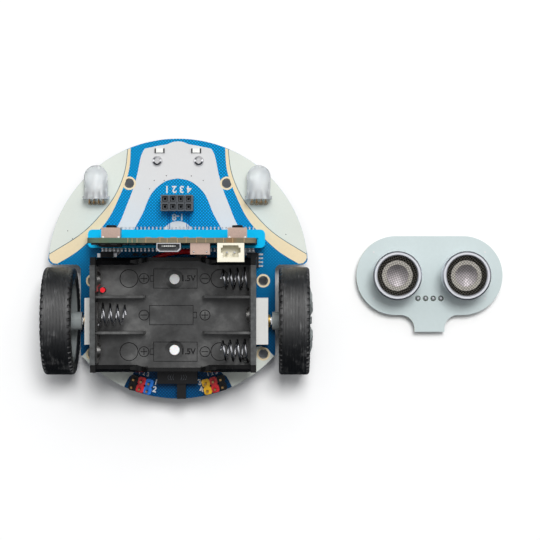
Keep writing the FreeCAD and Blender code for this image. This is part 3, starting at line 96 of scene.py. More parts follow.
class Shader:
    """A Principled material, built a node at a time in object coordinates."""

    def __init__(self, name, **sockets):
        self.name = name
        self.material = bpy.data.materials.new(f"look_{name}")
        self.material.use_nodes = True
        self.nodes = self.material.node_tree.nodes
        self.links = self.material.node_tree.links
        self.bsdf = self.nodes["Principled BSDF"]
        for socket, value in sockets.items():
            self.bsdf.inputs[socket.replace("_", " ")].default_value = value
        self.coords = self.nodes.new("ShaderNodeTexCoord").outputs["Object"]

    def stretched(self, stretch):
        """Object coordinates scaled along each axis."""
        mapping = self.nodes.new("ShaderNodeMapping")
        mapping.inputs["Scale"].default_value = stretch
        self.links.new(self.coords, mapping.inputs["Vector"])
        return mapping.outputs["Vector"]

    def noise(self, scale, detail=3.0, stretch=(1, 1, 1), rough=0.55):
        """A noise from 0 to 1, with scale in features per metre."""
        tex = self.nodes.new("ShaderNodeTexNoise")
        tex.inputs["Scale"].default_value = scale
        tex.inputs["Detail"].default_value = detail
        tex.inputs["Roughness"].default_value = rough
        self.links.new(self.stretched(stretch), tex.inputs["Vector"])
        return tex.outputs["Fac"]

    def bands(self, scale, direction="X", stretch=(1, 1, 1), profile="SIN"):
        """Straight bands from 0 to 1."""
        tex = self.nodes.new("ShaderNodeTexWave")
        tex.bands_direction = direction
        tex.wave_profile = profile
        tex.inputs["Scale"].default_value = scale
        self.links.new(self.stretched(stretch), tex.inputs["Vector"])
        return tex.outputs["Fac"]

    def calc(self, operation, a, b):
        """A math node on two values or outputs."""
        node = self.nodes.new("ShaderNodeMath")
        node.operation = operation
        for socket, value in zip(node.inputs, (a, b)):
            if isinstance(value, (int, float)):
                socket.default_value = value
            else:
                self.links.new(value, socket)
        return node.outputs[0]

    def steps(self, value, *stops):
        """A colour ramp: stops are (position, colour) pairs."""
        ramp = self.nodes.new("ShaderNodeValToRGB")
        elements = ramp.color_ramp.elements
        while len(elements) < len(stops):
            elements.new(0.5)
        for element, (position, colour) in zip(elements, stops):
            element.position = position
            element.color = colour
        self.links.new(value, ramp.inputs["Fac"])
        return ramp.outputs["Color"]

    def along(self, axis, start, end):
        """0 at one place along an axis and 1 at the other, in metres."""
        split = self.nodes.new("ShaderNodeSeparateXYZ")
        self.links.new(self.coords, split.inputs["Vector"])
        node = self.nodes.new("ShaderNodeMapRange")
        node.inputs["From Min"].default_value = start
        node.inputs["From Max"].default_value = end
        self.links.new(split.outputs[axis], node.inputs["Value"])
        return node.outputs["Result"]

    def between(self, value, low, high):
        """A value from 0 to 1 spread from low to high."""
        node = self.nodes.new("ShaderNodeMapRange")
        node.inputs["To Min"].default_value = low
        node.inputs["To Max"].default_value = high
        self.links.new(value, node.inputs["Value"])
        return node.outputs["Result"]

    def blend(self, fac, a, b, mode="MIX"):
        """Two colours, or outputs of colour, blended by a value."""
        node = self.nodes.new("ShaderNodeMix")
        node.data_type = "RGBA"
        node.blend_type = mode
        for socket, value in ((node.inputs["Factor"], fac), (node.inputs[6], a), (node.inputs[7], b)):
            if isinstance(value, (int, float, tuple)):
                socket.default_value = value
            else:
                self.links.new(value, socket)
        return node.outputs[2]

    def colour(self, output):
        self.links.new(output, self.bsdf.inputs["Base Color"])

    def roughness(self, output):
        self.links.new(output, self.bsdf.inputs["Roughness"])

    def bump(self, height, depth, strength=1.0):
        """Raises the surface by depth millimetres where height is 1."""
        node = self.nodes.new("ShaderNodeBump")
        node.inputs["Strength"].default_value = strength
        node.inputs["Distance"].default_value = depth * MM
        self.links.new(height, node.inputs["Height"])
        self.links.new(node.outputs["Normal"], self.bsdf.inputs["Normal"])


def plain(name, colour, rough, tint=0.10, spread=0.07, grain=1500, bump=0.01, blotch=120,
          stretch=(1, 1, 1), **sockets):
    """A moulded, printed or cast surface: soft blotches, a fine grain and uneven gloss."""
    shader = Shader(name, **sockets)
    fine = shader.noise(grain, 4.0, stretch)
    broad = shader.noise(blotch, 2.0)
    mixed = shader.calc("ADD", shader.calc("MULTIPLY", fine, 0.5), shader.calc("MULTIPLY", broad, 0.5))
    shader.colour(shader.steps(mixed, (0.32, scaled(colour, 1 - tint)), (0.68, scaled(colour, 1 + tint))))
    shader.roughness(shader.between(broad, rough - spread, rough + spread))
    shader.bump(fine, bump)
    return shader


def metal(name, colour, rough, stretch=(1, 1, 1), grain=2500, bump=0.004, tint=0.12):
    """A bare metal with fine drawing or machining lines along the stretched axis."""
    return plain(name, colour, rough, tint, rough * 0.4, grain, bump, 260, stretch, Metallic=1.0)


def board_shader(name, colour, pitch):
    """Solder mask over a copper hatch: crossed lines at a pitch in millimetres, with painted shade darkening
    it towards the rear.
    """
    shader = Shader(name, Specular_IOR_Level=0.12)
    scale = math.pi / 5 / (pitch * MM * math.sqrt(2))
    one = shader.bands(scale, "DIAGONAL", (1, 1, 0))
    other = shader.bands(scale, "DIAGONAL", (1, -1, 0))
    lines = shader.calc("MAXIMUM", one, other)
    broad = shader.noise(70, 3.0)
    base = shader.steps(broad, (0.3, scaled(colour, 0.94)), (0.7, scaled(colour, 1.06)))
    hatched = shader.blend(shader.calc("MULTIPLY", lines, lines), base, scaled(colour, 0.30))
    # painted shade: the mask is multiplied darker towards the rear, where the battery holder's shadow falls
    shade = shader.along("Y", -0.038, 0.016)
    rear = shader.steps(shade, (0.0, (0.34, 0.24, 0.32, 1)), (0.5, (0.42, 0.36, 0.43, 1)),
                        (1.0, (1, 1, 1, 1)))
    shader.colour(shader.blend(1.0, hatched, rear, "MULTIPLY"))
    shader.roughness(shader.between(broad, 0.34, 0.46))
    shader.bump(lines, 0.01, 0.4)
    return shader


MASK_BLUE = rgb(0, 164, 232)
mats = {}


def keep(shader):
    """Files a shader's material under its name."""
    mats[shader.name] = shader.material
    return shader


def make_materials():
    """The moulded, printed and metal materials, in two lists."""
    for name, colour, rough, extra in (
            ("silk_white", rgb(210, 210, 210), 0.55, {"tint": 0.02}),
            ("leaf_white", rgb(212, 217, 209), 0.45, {"tint": 0.025}),
            ("bare_laminate", rgb(228, 210, 174), 0.50, {"tint": 0.04}),
            ("cut_laminate", rgb(186, 176, 128), 0.75, {}),
            ("trace_blue", rgb(0, 92, 158), 0.35, {"Specular_IOR_Level": 0.1}),
            ("edge_teal", rgb(40, 92, 108), 0.45, {}),
            ("via_dark", rgb(48, 44, 40), 0.5, {}),
            ("track_tan", rgb(196, 164, 124), 0.45, {}),
            ("usb_inside", rgb(126, 128, 130), 0.4, {"Metallic": 0.4}),
            ("pad_brown", rgb(150, 118, 66), 0.4, {"Metallic": 0.6}),
            ("cyan_plastic", rgb(0, 180, 232), 0.42, {"Specular_IOR_Level": 0.15, "tint": 0.05}),
            ("socket_grey", rgb(90, 94, 99), 0.5, {"Specular_IOR_Level": 0.3}),
            ("black_plastic", rgb(22, 22, 24), 0.46, {"Specular_IOR_Level": 0.3}),
            ("red_plastic", rgb(214, 32, 42), 0.40, {}),
            ("blue_plastic", rgb(16, 110, 204), 0.40, {}),
            ("yellow_plastic", rgb(246, 188, 24), 0.40, {}),
            ("bracket_white", rgb(224, 224, 220), 0.50, {"tint": 0.03}),
            ("nylon_white", rgb(240, 240, 240), 0.38, {"Subsurface_Weight": 0.1, "Subsurface_Scale": 0.001}),
            ("ivory_plastic", rgb(238, 233, 214), 0.42, {"tint": 0.04}),
            ("hub_grey", rgb(142, 148, 148), 0.42, {}),
            ("wire_red", rgb(250, 22, 40), 0.38, {}),
            ("wire_black", rgb(22, 22, 24), 0.40, {}),
            ("chip_black", rgb(34, 34, 36), 0.60, {}),
            ("lamp_white", rgb(236, 236, 232), 0.35, {}),
            ("grid_lamp", rgb(150, 152, 148), 0.5, {}),
            # painted shade: the board's underside is a much darker blue than its top, to deepen the shade
            # under the car
            ("board_back_shaded", rgb(4, 44, 78), 0.4, {"Specular_IOR_Level": 0.2}),
            ("pad_ring", rgb(96, 104, 96), 0.4, {}),
            ("mesh_wire", rgb(112, 108, 100), 0.5, {"Metallic": 0.3}),
            ("phosphor", rgb(240, 222, 90), 0.45, {}),
            ("card_mask", rgb(26, 27, 30), 0.36, {"Coat_Weight": 0.2}),
            ("hole_dark", rgb(14, 14, 15), 0.8, {}),
            ("epoxy_dark", rgb(40, 24, 34), 0.12, {}),
            ("epoxy_clear", rgb(196, 214, 232), 0.10, {})):
        keep(plain(name, colour, rough, **extra))
    for name, colour, rough, stretch in (
            ("tin", rgb(206, 208, 212), 0.30, (1, 1, 1)),
            ("gold", rgb(214, 168, 92), 0.30, (1, 1, 1)),
            ("pin_gold", rgb(146, 116, 76), 0.30, (1, 1, 1)),
            ("spring_steel", rgb(206, 206, 210), 0.10, (1, 1, 1)),
            ("nickel", rgb(196, 194, 190), 0.38, (1, 0.2, 1)),
            # painted shade: a much darker copy of the nickel, for the contact plates' upward edges
            ("nickel_top_shaded", rgb(84, 84, 84), 0.5, (1, 0.2, 1)),
            ("screw_steel", rgb(214, 214, 216), 0.18, (1, 1, 1)),
            ("can_steel", rgb(196, 198, 202), 0.30, (0.05, 1, 1)),
            ("shaft_steel", rgb(212, 214, 216), 0.20, (1, 0.1, 0.1)),
            ("brass", rgb(214, 178, 104), 0.30, (1, 0.3, 0.3)),
            ("ball_steel", rgb(214, 216, 220), 0.08, (1, 1, 1)),
            ("button_steel", rgb(222, 194, 180), 0.38, (1, 1, 0.15)),
            ("usb_steel", rgb(206, 206, 210), 0.34, (1, 1, 0.1)),
            ("cone_aluminium", rgb(228, 220, 224), 0.42, (1, 1, 1)),
            ("cone_rim", rgb(236, 231, 222), 0.5, (1, 1, 1))):
        keep(metal(name, colour, rough, stretch))
    keep(metal("rim_aluminium", rgb(244, 246, 252), 0.42, bump=0.0004, tint=0.02))


def make_special_materials():
    """The materials whose pattern says what they are."""
    keep(board_shader("board_blue", MASK_BLUE, 0.74))
    keep(plain("sonar_mask", rgb(194, 206, 206), 0.34, 0.025, 0.05, 900, 0.002, 60, Coat_Weight=0.3,
               Coat_Roughness=0.12))

    lens = keep(Shader("frosted_lens", Transmission_Weight=0.64, IOR=1.33, Specular_IOR_Level=0.4))
    cloud = lens.noise(400, 2.0)
    lens.roughness(lens.between(cloud, 0.16, 0.26))
    lens.colour(lens.steps(cloud, (0.3, rgb(244, 248, 252)), (0.7, rgb(253, 254, 255))))

    tread = keep(Shader("tyre_rubber", Specular_IOR_Level=1.0, IOR=1.75))
    streak = tread.noise(1.0, 6.0, (5200, 160, 160), 0.65)
    dust = tread.noise(260, 4.0)
    # painted highlight: the light-grey stop paints sheen streaks along the tread into the black rubber's
    # colour; the dust noise breaks them up
    dusty_sheen = tread.calc("MULTIPLY", streak, dust)
    tread.colour(tread.steps(dusty_sheen, (0.16, rgb(3, 3, 4)), (0.30, rgb(12, 12, 13)), (0.44, rgb(112, 112, 112))))
    tread.roughness(tread.between(streak, 0.30, 0.60))
    tread.bump(streak, 0.09)

    tray = keep(Shader("holder_black", Specular_IOR_Level=0.5))
    # scuffs, plus painted sheen: the tray's black plastic is coloured mid grey to light grey, as it looks
    # when lit
    scuffs_and_sheen = tray.noise(95, 5.0, (1, 1, 1), 0.62)
    grain = tray.noise(2600, 2.0)
    tray.colour(tray.steps(scuffs_and_sheen, (0.28, rgb(32, 32, 32)), (0.50, rgb(68, 68, 68)),
                           (0.76, rgb(116, 116, 115))))
    tray.roughness(tray.between(scuffs_and_sheen, 0.30, 0.54))
    tray.bump(grain, 0.012)

    gloss = keep(Shader("holder_gloss", Specular_IOR_Level=0.22))
    smear = gloss.noise(140, 4.0)
    gloss.colour(gloss.steps(smear, (0.3, rgb(10, 10, 11)), (0.75, rgb(24, 24, 25))))
    gloss.roughness(gloss.between(smear, 0.18, 0.36))
    gloss.bump(gloss.noise(1500, 2.0), 0.01)

    crown = keep(Shader("holder_crown", Specular_IOR_Level=0.35))
    # painted light: the end walls' upward tops are a lighter grey than the rest of the black holder, as they
    # look lit from above; the noise adds a rubbed texture
    rub_and_top_light = crown.noise(700, 4.0)
    crown.colour(crown.steps(rub_and_top_light, (0.3, rgb(66, 67, 67)), (0.7, rgb(94, 96, 96))))
    crown.roughness(crown.between(rub_and_top_light, 0.6, 0.8))
    crown.bump(rub_and_top_light, 0.02)

    edge = keep(Shader("card_edge"))
    plies = edge.bands(640, "Y", (1, 1, 1))
    chips = edge.noise(1.0, 2.0, (260, 40, 40))
    cut = edge.steps(plies, (0.2, rgb(104, 108, 96)), (0.5, rgb(150, 150, 130)), (0.8, rgb(122, 124, 110)))
    worn = edge.blend(edge.steps(chips, (0.58, (0, 0, 0, 1)), (0.66, (1, 1, 1, 1))), cut, rgb(136, 120, 94))
    tone = edge.steps(edge.along("X", -0.026, 0.026), (0.28, rgb(176, 214, 204)), (0.36, rgb(250, 226, 206)))
    edge.colour(edge.blend(1.0, worn, tone, "MULTIPLY"))
    edge.roughness(edge.between(chips, 0.5, 0.8))
    edge.bump(plies, 0.03)


make_materials()
make_special_materials()


# ---- dressing the CAD nodes -------------------------------------------------------------
def dress(node, *names, pick=None):
    """Puts materials on a CAD node. pick gives a face's material number from its centre and normal."""
    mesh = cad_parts[node].data
    mesh.materials.clear()
    for name in names:
        mesh.materials.append(mats[name])
    for face in mesh.polygons:
        face.material_index = pick(face.center / MM, face.normal) if pick else 0


def dress_pieces(node, *names, pick):
    """Puts materials on a node's separate solids. pick gives a number from a solid's two corners."""
    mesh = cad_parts[node].data
    root = {}

    def find(key):
        while root.setdefault(key, key) != key:
            root[key] = root[root[key]]
            key = root[key]
        return key

    keys = [tuple(round(c / MM, 3) for c in v.co) for v in mesh.vertices]
    for face in mesh.polygons:
        first = find(keys[face.vertices[0]])
        for index in face.vertices[1:]:
            root[find(keys[index])] = first
    corners = {}
    for key in keys:
        low, high = corners.setdefault(find(key), (list(key), list(key)))
        for axis in range(3):
            low[axis] = min(low[axis], key[axis])
            high[axis] = max(high[axis], key[axis])
    mesh.materials.clear()
    for name in names:
        mesh.materials.append(mats[name])
    for face in mesh.polygons:
        low, high = corners[find(keys[face.vertices[0]])]
        face.material_index = pick(Vector(low), Vector(high))


def dress_chassis():
    """Base board and everything fixed to it."""
    # the underside gets a darker blue than the top, painted shade under the car
    dress("base_board", "board_blue", "cut_laminate", "board_back_shaded",
          pick=lambda c, n: 1 if abs(n.z) < 0.5 else (0 if n.z > 0 else 2))
    dress("edge_connector_housing", "cyan_plastic")
    dress("edge_connector_contacts", "tin")
    dress("sensor_socket", "socket_grey")
    dress("header_pins", "pin_gold")
    dress("headlight_lenses", "frosted_lens")
    lens_y = node_box("headlight_lenses")[0].y + 0.4
    dress("headlight_leads", "pin_gold", "lamp_white", pick=lambda c, n: c.y > lens_y)
    dress("port_strips_black", "black_plastic")
    dress("port_strips_red", "red_plastic")
    dress("port_strip_blue", "blue_plastic")
    dress("port_strip_yellow", "yellow_plastic")
    size = HOLDER_HIGH - HOLDER_LOW
    floor = HOLDER_LOW.z + 2.2

    def holder_zone(c, n):
        well = abs(c.x - HOLDER_MID.x) < size.x / 2 - 2.0 and abs(c.y - HOLDER_MID.y) < size.y / 2 - 2.6
        if c.z < floor or well:
            return 0
        # upward-facing end-wall tops get the lighter grey, painted light on the tops
        at_end = abs(c.x - HOLDER_MID.x) > size.x / 2 - 1.8
        return 2 if at_end and n.z > 0.7 and abs(c.y - HOLDER_MID.y) < size.y / 2 - 2.4 else 1

    dress("battery_holder", "holder_black", "holder_gloss", "holder_crown", pick=holder_zone)
    dress("battery_springs", "spring_steel")
    # the plates' upward edges get the darker nickel, painted shade
    dress("battery_contacts", "nickel", "nickel_top_shaded", pick=lambda c, n: n.z > 0.9)
    dress("red_leads", "wire_red")
    dress("black_leads", "wire_black")
    dress("holder_screws", "nylon_white", "screw_steel", pick=lambda c, n: c.z < BOARD_TOP - 1.5)
    dress("holder_standoffs", "nylon_white")
    dress("motor_brackets", "bracket_white")
    dress("machine_screws", "screw_steel")
    dress("motor_cans", "can_steel")
    dress("motor_end_caps", "black_plastic", "brass", pick=lambda c, n: abs(c.x) < 4.15)
    dress("gearbox_plates", "brass")
    dress("gearbox_pins", "shaft_steel")
    dress("caster_housing", "black_plastic")
    dress("caster_ball", "ball_steel")
    sensor_mid = node_box("line_sensors")[0].z + 2.6
    dress("line_sensors", "black_plastic", "epoxy_dark", "epoxy_clear",
          pick=lambda c, n: 0 if sensor_zone(c) > 1.95 or c.z > sensor_mid else (1 if abs(c.x) < 8 else 2))
    dress("underglow_lamps", "lamp_white", "phosphor",
          pick=lambda c, n: c.z > BOARD_BOTTOM - 0.9 and n.z < -0.5)
    dress("power_switch_case", "black_plastic")
    dress("power_switch_slider", "black_plastic")

    def chip(low, high):
        if low.y > 37:
            return 2
        leg = low.x > 20 and high.x - low.x < 2
        tab = high.x < -19 and high.x - low.x < 2
        return 1 if leg or tab else 0

    dress_pieces("board_chips", "chip_black", "tin", "lamp_white", pick=chip)


def sensor_zone(c):
    """How far a point is from the nearest line sensor window's axis."""
    return min(math.hypot(c.x - x, c.y - SENSOR_Y) for x in SENSOR_WINDOWS)


def dress_card():
    """The controller card and what is on it."""
    dress("controller_board", "card_mask", "card_edge", pick=lambda c, n: abs(n.y) < 0.5)
    front = CARD_HIGH.y
    dress_pieces("controller_chips", "chip_black", "grid_lamp", pick=lambda low, high: high.y > front)
    dress("button_cases", "button_steel")
    for name in ("button_a_plunger", "button_b_plunger", "reset_plunger"):
        dress(name, "black_plastic")
    usb_low, usb_high = node_box("usb_socket")

    def usb_zone(c, n):
        inside = usb_low.x + 0.25 < c.x < usb_high.x - 0.25 and usb_low.y + 0.25 < c.y < usb_high.y - 0.25
        if not inside or c.z > usb_high.z - 0.05:
            return 0
        return 1 if n.z > 0.9 and c.z > usb_high.z - 1.5 else 2

    dress("usb_socket", "usb_steel", "grid_lamp", "usb_inside", pick=usb_zone)
    dress_pieces("battery_socket", "ivory_plastic", "tin", pick=lambda low, high: high.x - low.x < 1)


def dress_wheels():
    """Gear trains, shafts and hubs on both sides."""
    for side in ("left", "right"):
        dress(f"{side}_motor_rotor", "shaft_steel")
        for k in (1, 2, 3):
            dress(f"{side}_gear_{k}", "brass")
        dress(f"{side}_output_shaft", "shaft_steel")
        dress(f"{side}_wheel_hub", "hub_grey")
        dress(f"{side}_tyre", "tyre_rubber")


def dress_sonar():
    """The loose sonar module."""
    dress("sonar_board", "sonar_mask", "cut_laminate", pick=lambda c, n: abs(n.z) < 0.5)
    dress("sonar_eye_cans", "rim_aluminium")
    dress("sonar_eye_cones", "cone_aluminium")
    dress("sonar_eye_screens", "mesh_wire")
    dress("sonar_header", "black_plastic")
    dress("sonar_header_pins", "tin")
    dress("sonar_chips", "chip_black", "tin", pick=lambda c, n: c.y > 3)


dress_chassis()
dress_card()
dress_wheels()
dress_sonar()


# ---- making pieces ----------------------------------------------------------------------
def add_piece(name, mesh, material, body, smooth=False):
    """Puts a mesh in the scene as a named piece that rides on a body."""
    piece = bpy.data.objects.new(name, mesh)
    bpy.context.scene.collection.objects.link(piece)
    mesh.materials.clear()
    mesh.materials.append(mats[material])
    for face in mesh.polygons:
        face.use_smooth = smooth
        face.material_index = 0
    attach(piece, body)
    return piece


def mesh_of(curve_data):
    """A curve's or a text's surface as a mesh."""
    source = bpy.data.objects.new("source", curve_data)
    bpy.context.scene.collection.objects.link(source)
    depsgraph = bpy.context.evaluated_depsgraph_get()
    mesh = bpy.data.meshes.new_from_object(source.evaluated_get(depsgraph))
    bpy.data.objects.remove(source)
    return mesh


def flat_mesh(outlines, z, thickness):
    """A slab whose plan is the given closed outlines: an outline inside another is a hole."""
    curve = bpy.data.curves.new("outline", "CURVE")
    curve.dimensions = "2D"
    curve.fill_mode = "BOTH"
    curve.extrude = thickness * MM / 2
    for outline in outlines:
        spline = curve.splines.new("POLY")
        spline.points.add(len(outline) - 1)
        for point, (x, y) in zip(spline.points, outline):
            point.co = (x * MM, y * MM, 0, 1)
        spline.use_cyclic_u = True
    mesh = mesh_of(curve)
    for vertex in mesh.vertices:
        vertex.co.z += (z + thickness / 2) * MM
    return mesh


def stroke_mesh(lines, radius, resolution=1):
    """Round bars along lists of 3-D points; a line is (points, closed)."""
    curve = bpy.data.curves.new("stroke", "CURVE")
    curve.dimensions = "3D"
    curve.bevel_depth = radius * MM
    curve.bevel_resolution = resolution
    curve.use_fill_caps = True
    for points, closed in lines:
        spline = curve.splines.new("POLY")
        spline.points.add(len(points) - 1)
        for point, (x, y, z) in zip(spline.points, points):
            point.co = (x * MM, y * MM, z * MM, 1)
        spline.use_cyclic_u = closed
    return mesh_of(curve)


def lathe_mesh(profile, spots, steps=24):
    """A profile of (radius, height) turned about +Z at each spot."""
    verts, faces = [], []
    for x, y in spots:
        start = len(verts)
        for r, z in profile:
            for k in range(steps):
                a = 2 * math.pi * k / steps
                verts.append(((x + r * math.cos(a)) * MM, (y + r * math.sin(a)) * MM, z * MM))
        for i in range(len(profile) - 1):
            for k in range(steps):
                a, b = start + i * steps + k, start + i * steps + (k + 1) % steps
                faces.append((a, b, b + steps, a + steps))
    mesh = bpy.data.meshes.new("lathe")
    mesh.from_pydata(verts, [], faces)
    return mesh


def ring(x, y, r, steps=40):
    """A circle as a closed outline."""
    return [(x + r * math.cos(2 * math.pi * k / steps), y + r * math.sin(2 * math.pi * k / steps))
            for k in range(steps)]


def square_outline(x, y, half):
    """A square as a closed outline."""
    return [(x - half, y - half), (x + half, y - half), (x + half, y + half), (x - half, y + half)]


def arc(r, start, end, steps=40):
    """Points on the board's circle between two angles in degrees."""
    angles = [math.radians(start + (end - start) * k / steps) for k in range(steps + 1)]
    return [(r * math.cos(a), r * math.sin(a)) for a in angles]


def smooth(points, steps=8):
    """A soft line through the points."""
    padded = [points[0]] + list(points) + [points[-1]]
    line = []
    for p0, p1, p2, p3 in zip(padded, padded[1:], padded[2:], padded[3:]):
        for k in range(steps):
            t = k / steps
            line.append(tuple(
                0.5 * (2 * b + (c - a) * t + (2 * a - 5 * b + 4 * c - d) * t * t
                       + (3 * b - a - 3 * c + d) * t ** 3)
                for a, b, c, d in zip(p0, p1, p2, p3)))
    return line + [points[-1]]


def mirrored(points):
    """The same outline on the other side of the car."""
    return [(-x, y) for x, y in points]


def bearing(point):
    """A point's angle about the board's centre, in degrees."""
    return math.degrees(math.atan2(point[1], point[0]))


# ---- artwork printed on the round board -------------------------------------------------
LEAF_EDGE = [(-16.5, 39.2), (-17.5, 31.8), (-20.5, 24.3), (-25.2, 17.9), (-31.8, 11.4), (-42.2, 4.8)]
STRIP_EDGE = [(-15.5, 39.6), (-16.2, 31.8), (-19.6, 22.7), (-23.9, 14.9), (-32.1, 6.4), (-39.6, 1.6)]
CREST_OUTER = [(-10.8, 39.4), (-11.5, 38.4), (-12.3, 36.2), (-13.3, 31.2), (-14.7, 26.2), (-16.9, 20.5),
               (-19.4, 14.6), (-24.7, 6.3), (-25.6, 5.1)]
CREST_DOME = [(0, 41.75), (-1.5, 41.6), (-2.8, 41.1), (-3.8, 40.75), (-6.0, 40.4)]
BELL = [(-19.8, 4.2), (-17.7, 6.7), (-13.9, 13.8), (-11.5, 18.3), (-10.1, 21.8), (-8.7, 24.6), (-6.4, 27.1),
        (-3.5, 28.9), (0, 29.6)]
WING_INNER = [(14.2, -33.4), (14.8, -34.6), (15.9, -35.4), (16.9, -37.1), (17.6, -38.6)]
WING_UPPER = [(31.4, -28.6), (29.8, -27.0), (27.4, -25.4), (21.0, -26.5), (14.2, -33.4)]


def leaf(side):
    """The pale leaf between its curved inner edge and the board's edge."""
    inner = smooth(LEAF_EDGE)
    rim = arc(BOARD_R, bearing(LEAF_EDGE[-1]), bearing(LEAF_EDGE[0]))
    outline = inner + rim[1:-1]
    return outline if side < 0 else mirrored(outline)


def strip(side):
    """The bare strip of laminate that borders the leaf, ending round the board's corner."""
    corner = [(-42.3, 3.6), (-41.9, 2.6), (-41.1, 1.8)]
    outline = smooth(LEAF_EDGE) + corner + smooth(STRIP_EDGE)[::-1]
    return outline if side < 0 else mirrored(outline)


def wing(side):
    """A pale wing at the rear, outside the blue middle."""
    rim = arc(BOARD_R, bearing((17.6, -38.6)), bearing((31.4, -28.6)))
    outline = smooth(WING_INNER)[:-1] + rim + WING_UPPER[1:-1]
    return outline if side > 0 else mirrored(outline)


def print_board():
    """The silk screen, laminate strips, pads, traces and vias on the board's top."""
    z = BOARD_TOP
    add_piece("leaf_print", flat_mesh([leaf(-1), leaf(1)], z, INK), "leaf_white", "chassis")
    add_piece("laminate_strips", flat_mesh([strip(-1), strip(1)], z, INK * 0.6), "bare_laminate", "chassis")
    outer = smooth(CREST_DOME) + smooth(CREST_OUTER)
    inner = smooth(BELL)
    left = outer + inner
    crest = left + mirrored(inner[::-1][1:]) + mirrored(outer[::-1][:-1])
    add_piece("crest_print", flat_mesh([crest], z, INK), "silk_white", "chassis")
    disc = [(5.6 * math.cos(math.radians(a)), 9.75 + 5.85 * math.sin(math.radians(a)))
            for a in range(0, 181, 6)]
    add_piece("socket_half_disc", flat_mesh([disc], z, INK), "silk_white", "chassis")
    rear_holes = [ring(sx * 28, -28, PRINT_GAP_R) for sx in (-1, 1)]
    add_piece("wing_print", flat_mesh([wing(-1), wing(1)] + rear_holes, z, INK), "leaf_white", "chassis")
    rings = [outline for x, y in M3_SPOTS for outline in (ring(x, y, PAD_R), ring(x, y, M3_R))]
    add_piece("hole_rings", flat_mesh(rings, z, INK * 1.4), "bare_laminate", "chassis")
    left_edge = [(x, y, z + INK) for x, y in smooth(LEAF_EDGE)]
    right_edge = [(-x, y, height) for x, y, height in left_edge]
    leaf_lines = stroke_mesh([(left_edge, False), (right_edge, False)], 0.1)
    add_piece("leaf_lines", leaf_lines, "edge_teal", "chassis")
    vias = [(-7.8, 28.9), (-3.8, 30.5), (-4.5, 28.9), (4.4, 30.4), (8.3, 28.9), (-9.3, 26.2), (-12.2, 5.4),
            (9.4, 4.9), (-34.6, 9.8), (-36.2, 12.4), (35.4, 11.2)]
    add_piece("vias", lathe_mesh([(0.17, z + INK), (0.17, z + INK * 1.5), (0.0, z + INK * 1.5)], vias, 12),
              "via_dark", "chassis")


def traces():
    """Broad copper tracks that show darker under the mask, between socket and connector."""
    z = BOARD_TOP + 0.01
    lines = [([(x, 18.4, z), (x, 13.0, z)], False) for x in (-3.3, -2.7, 2.9, 3.6)]
    lines += [([(-14.0, 12.9 + k * 0.55, z), (-6.4 - k * 0.3, 12.9 + k * 0.55, z)], False) for k in range(2)]
    lines += [([(14.6, 12.9, z), (7.0, 12.9, z)], False)]
    add_piece("traces", stroke_mesh(lines, 0.13), "trace_blue", "chassis")


def label(name, text, x, y, z, size, turn, body="chassis", material="silk_white"):
    """A short printed mark, centred on a place."""
    data = bpy.data.curves.new(name, "FONT")
    data.body = text
    data.size = size * MM
    data.extrude = INK * MM / 2
    data.offset = 0.03 * size * MM
    data.align_x = data.align_y = "CENTER"
    mesh = mesh_of(data)
    c, s = math.cos(math.radians(turn)), math.sin(math.radians(turn))
    for v in mesh.vertices:
        v.co = Vector((c * v.co.x - s * v.co.y + x * MM, s * v.co.x + c * v.co.y + y * MM,
                       v.co.z + (z + INK) * MM))
    return add_piece(name, mesh, material, body)


def labels():
    """Generic numbers where the board carries its port labels."""
    z = BOARD_TOP
    label("label_socket_front", "4 3 2 1", 0, 26.1, z, 3.1, 180)
    label("label_socket_rear", "1-8", 0, 17.0, z, 3.0, 180)
    for side, mark in ((-1, "12"), (1, "34")):
        for row, digit in enumerate(mark):
            label(f"label_port_{digit}", digit, side * 7.2 + side * 0.5 * row, -37.3 - row * 2.4, z, 2.6,
                  side * 15)
        label(f"label_columns_{mark}", "1 2 3", side * 11.2, -34.4, z, 1.8, side * 15)


print_board()
traces()
labels()


# ---- solder, pads and small board details -----------------------------------------------
def header_spots():
    """Where pins come through the board: sensor socket, headlights and both ports."""
    spots = [((c - 1.5) * PIN_PITCH, SOCKET_Y + (r - 0.5) * PIN_PITCH) for c in range(4) for r in range(2)]
    spots += LEAD_SPOTS
    for side in (-1, 1):
        turn = math.radians(PORT_TURN * side)
        for column in (-1, 0, 1):
            for row in (-0.5, 0.5):
                dx, dy = column * PIN_PITCH, row * PIN_PITCH
                spots.append((side * PORT_X + dx * math.cos(turn) - dy * math.sin(turn),
                              PORT_Y + dx * math.sin(turn) + dy * math.cos(turn)))
    return spots


def solder():
    """Solder round every pin under the board, and on top the lamp leads' pads and two leads' joints."""
    z = BOARD_BOTTOM
    cone = [(0.85, z - 0.005), (0.7, z - 0.18), (0.45, z - 0.5), (0.36, z - 0.85), (0.0, z - 0.9)]
    add_piece("solder_joints", lathe_mesh(cone, header_spots(), 16), "tin", "chassis", True)
    pads = [outline for x, y in LEAD_SPOTS for outline in (ring(x, y, 0.68, 24), ring(x, y, 0.5, 24))]
    add_piece("lead_pads", flat_mesh(pads, BOARD_TOP, INK * 2), "pad_brown", "chassis")
    blob = [(0.9, BOARD_TOP), (0.85, BOARD_TOP + 0.25), (0.6, BOARD_TOP + 0.6), (0.3, BOARD_TOP + 0.8),
            (0, BOARD_TOP + 0.85)]
    joins = [(8.8, 3.7), (12.0, 2.0)]
    add_piece("lead_solder", lathe_mesh(blob, joins, 20), "tin", "chassis", True)


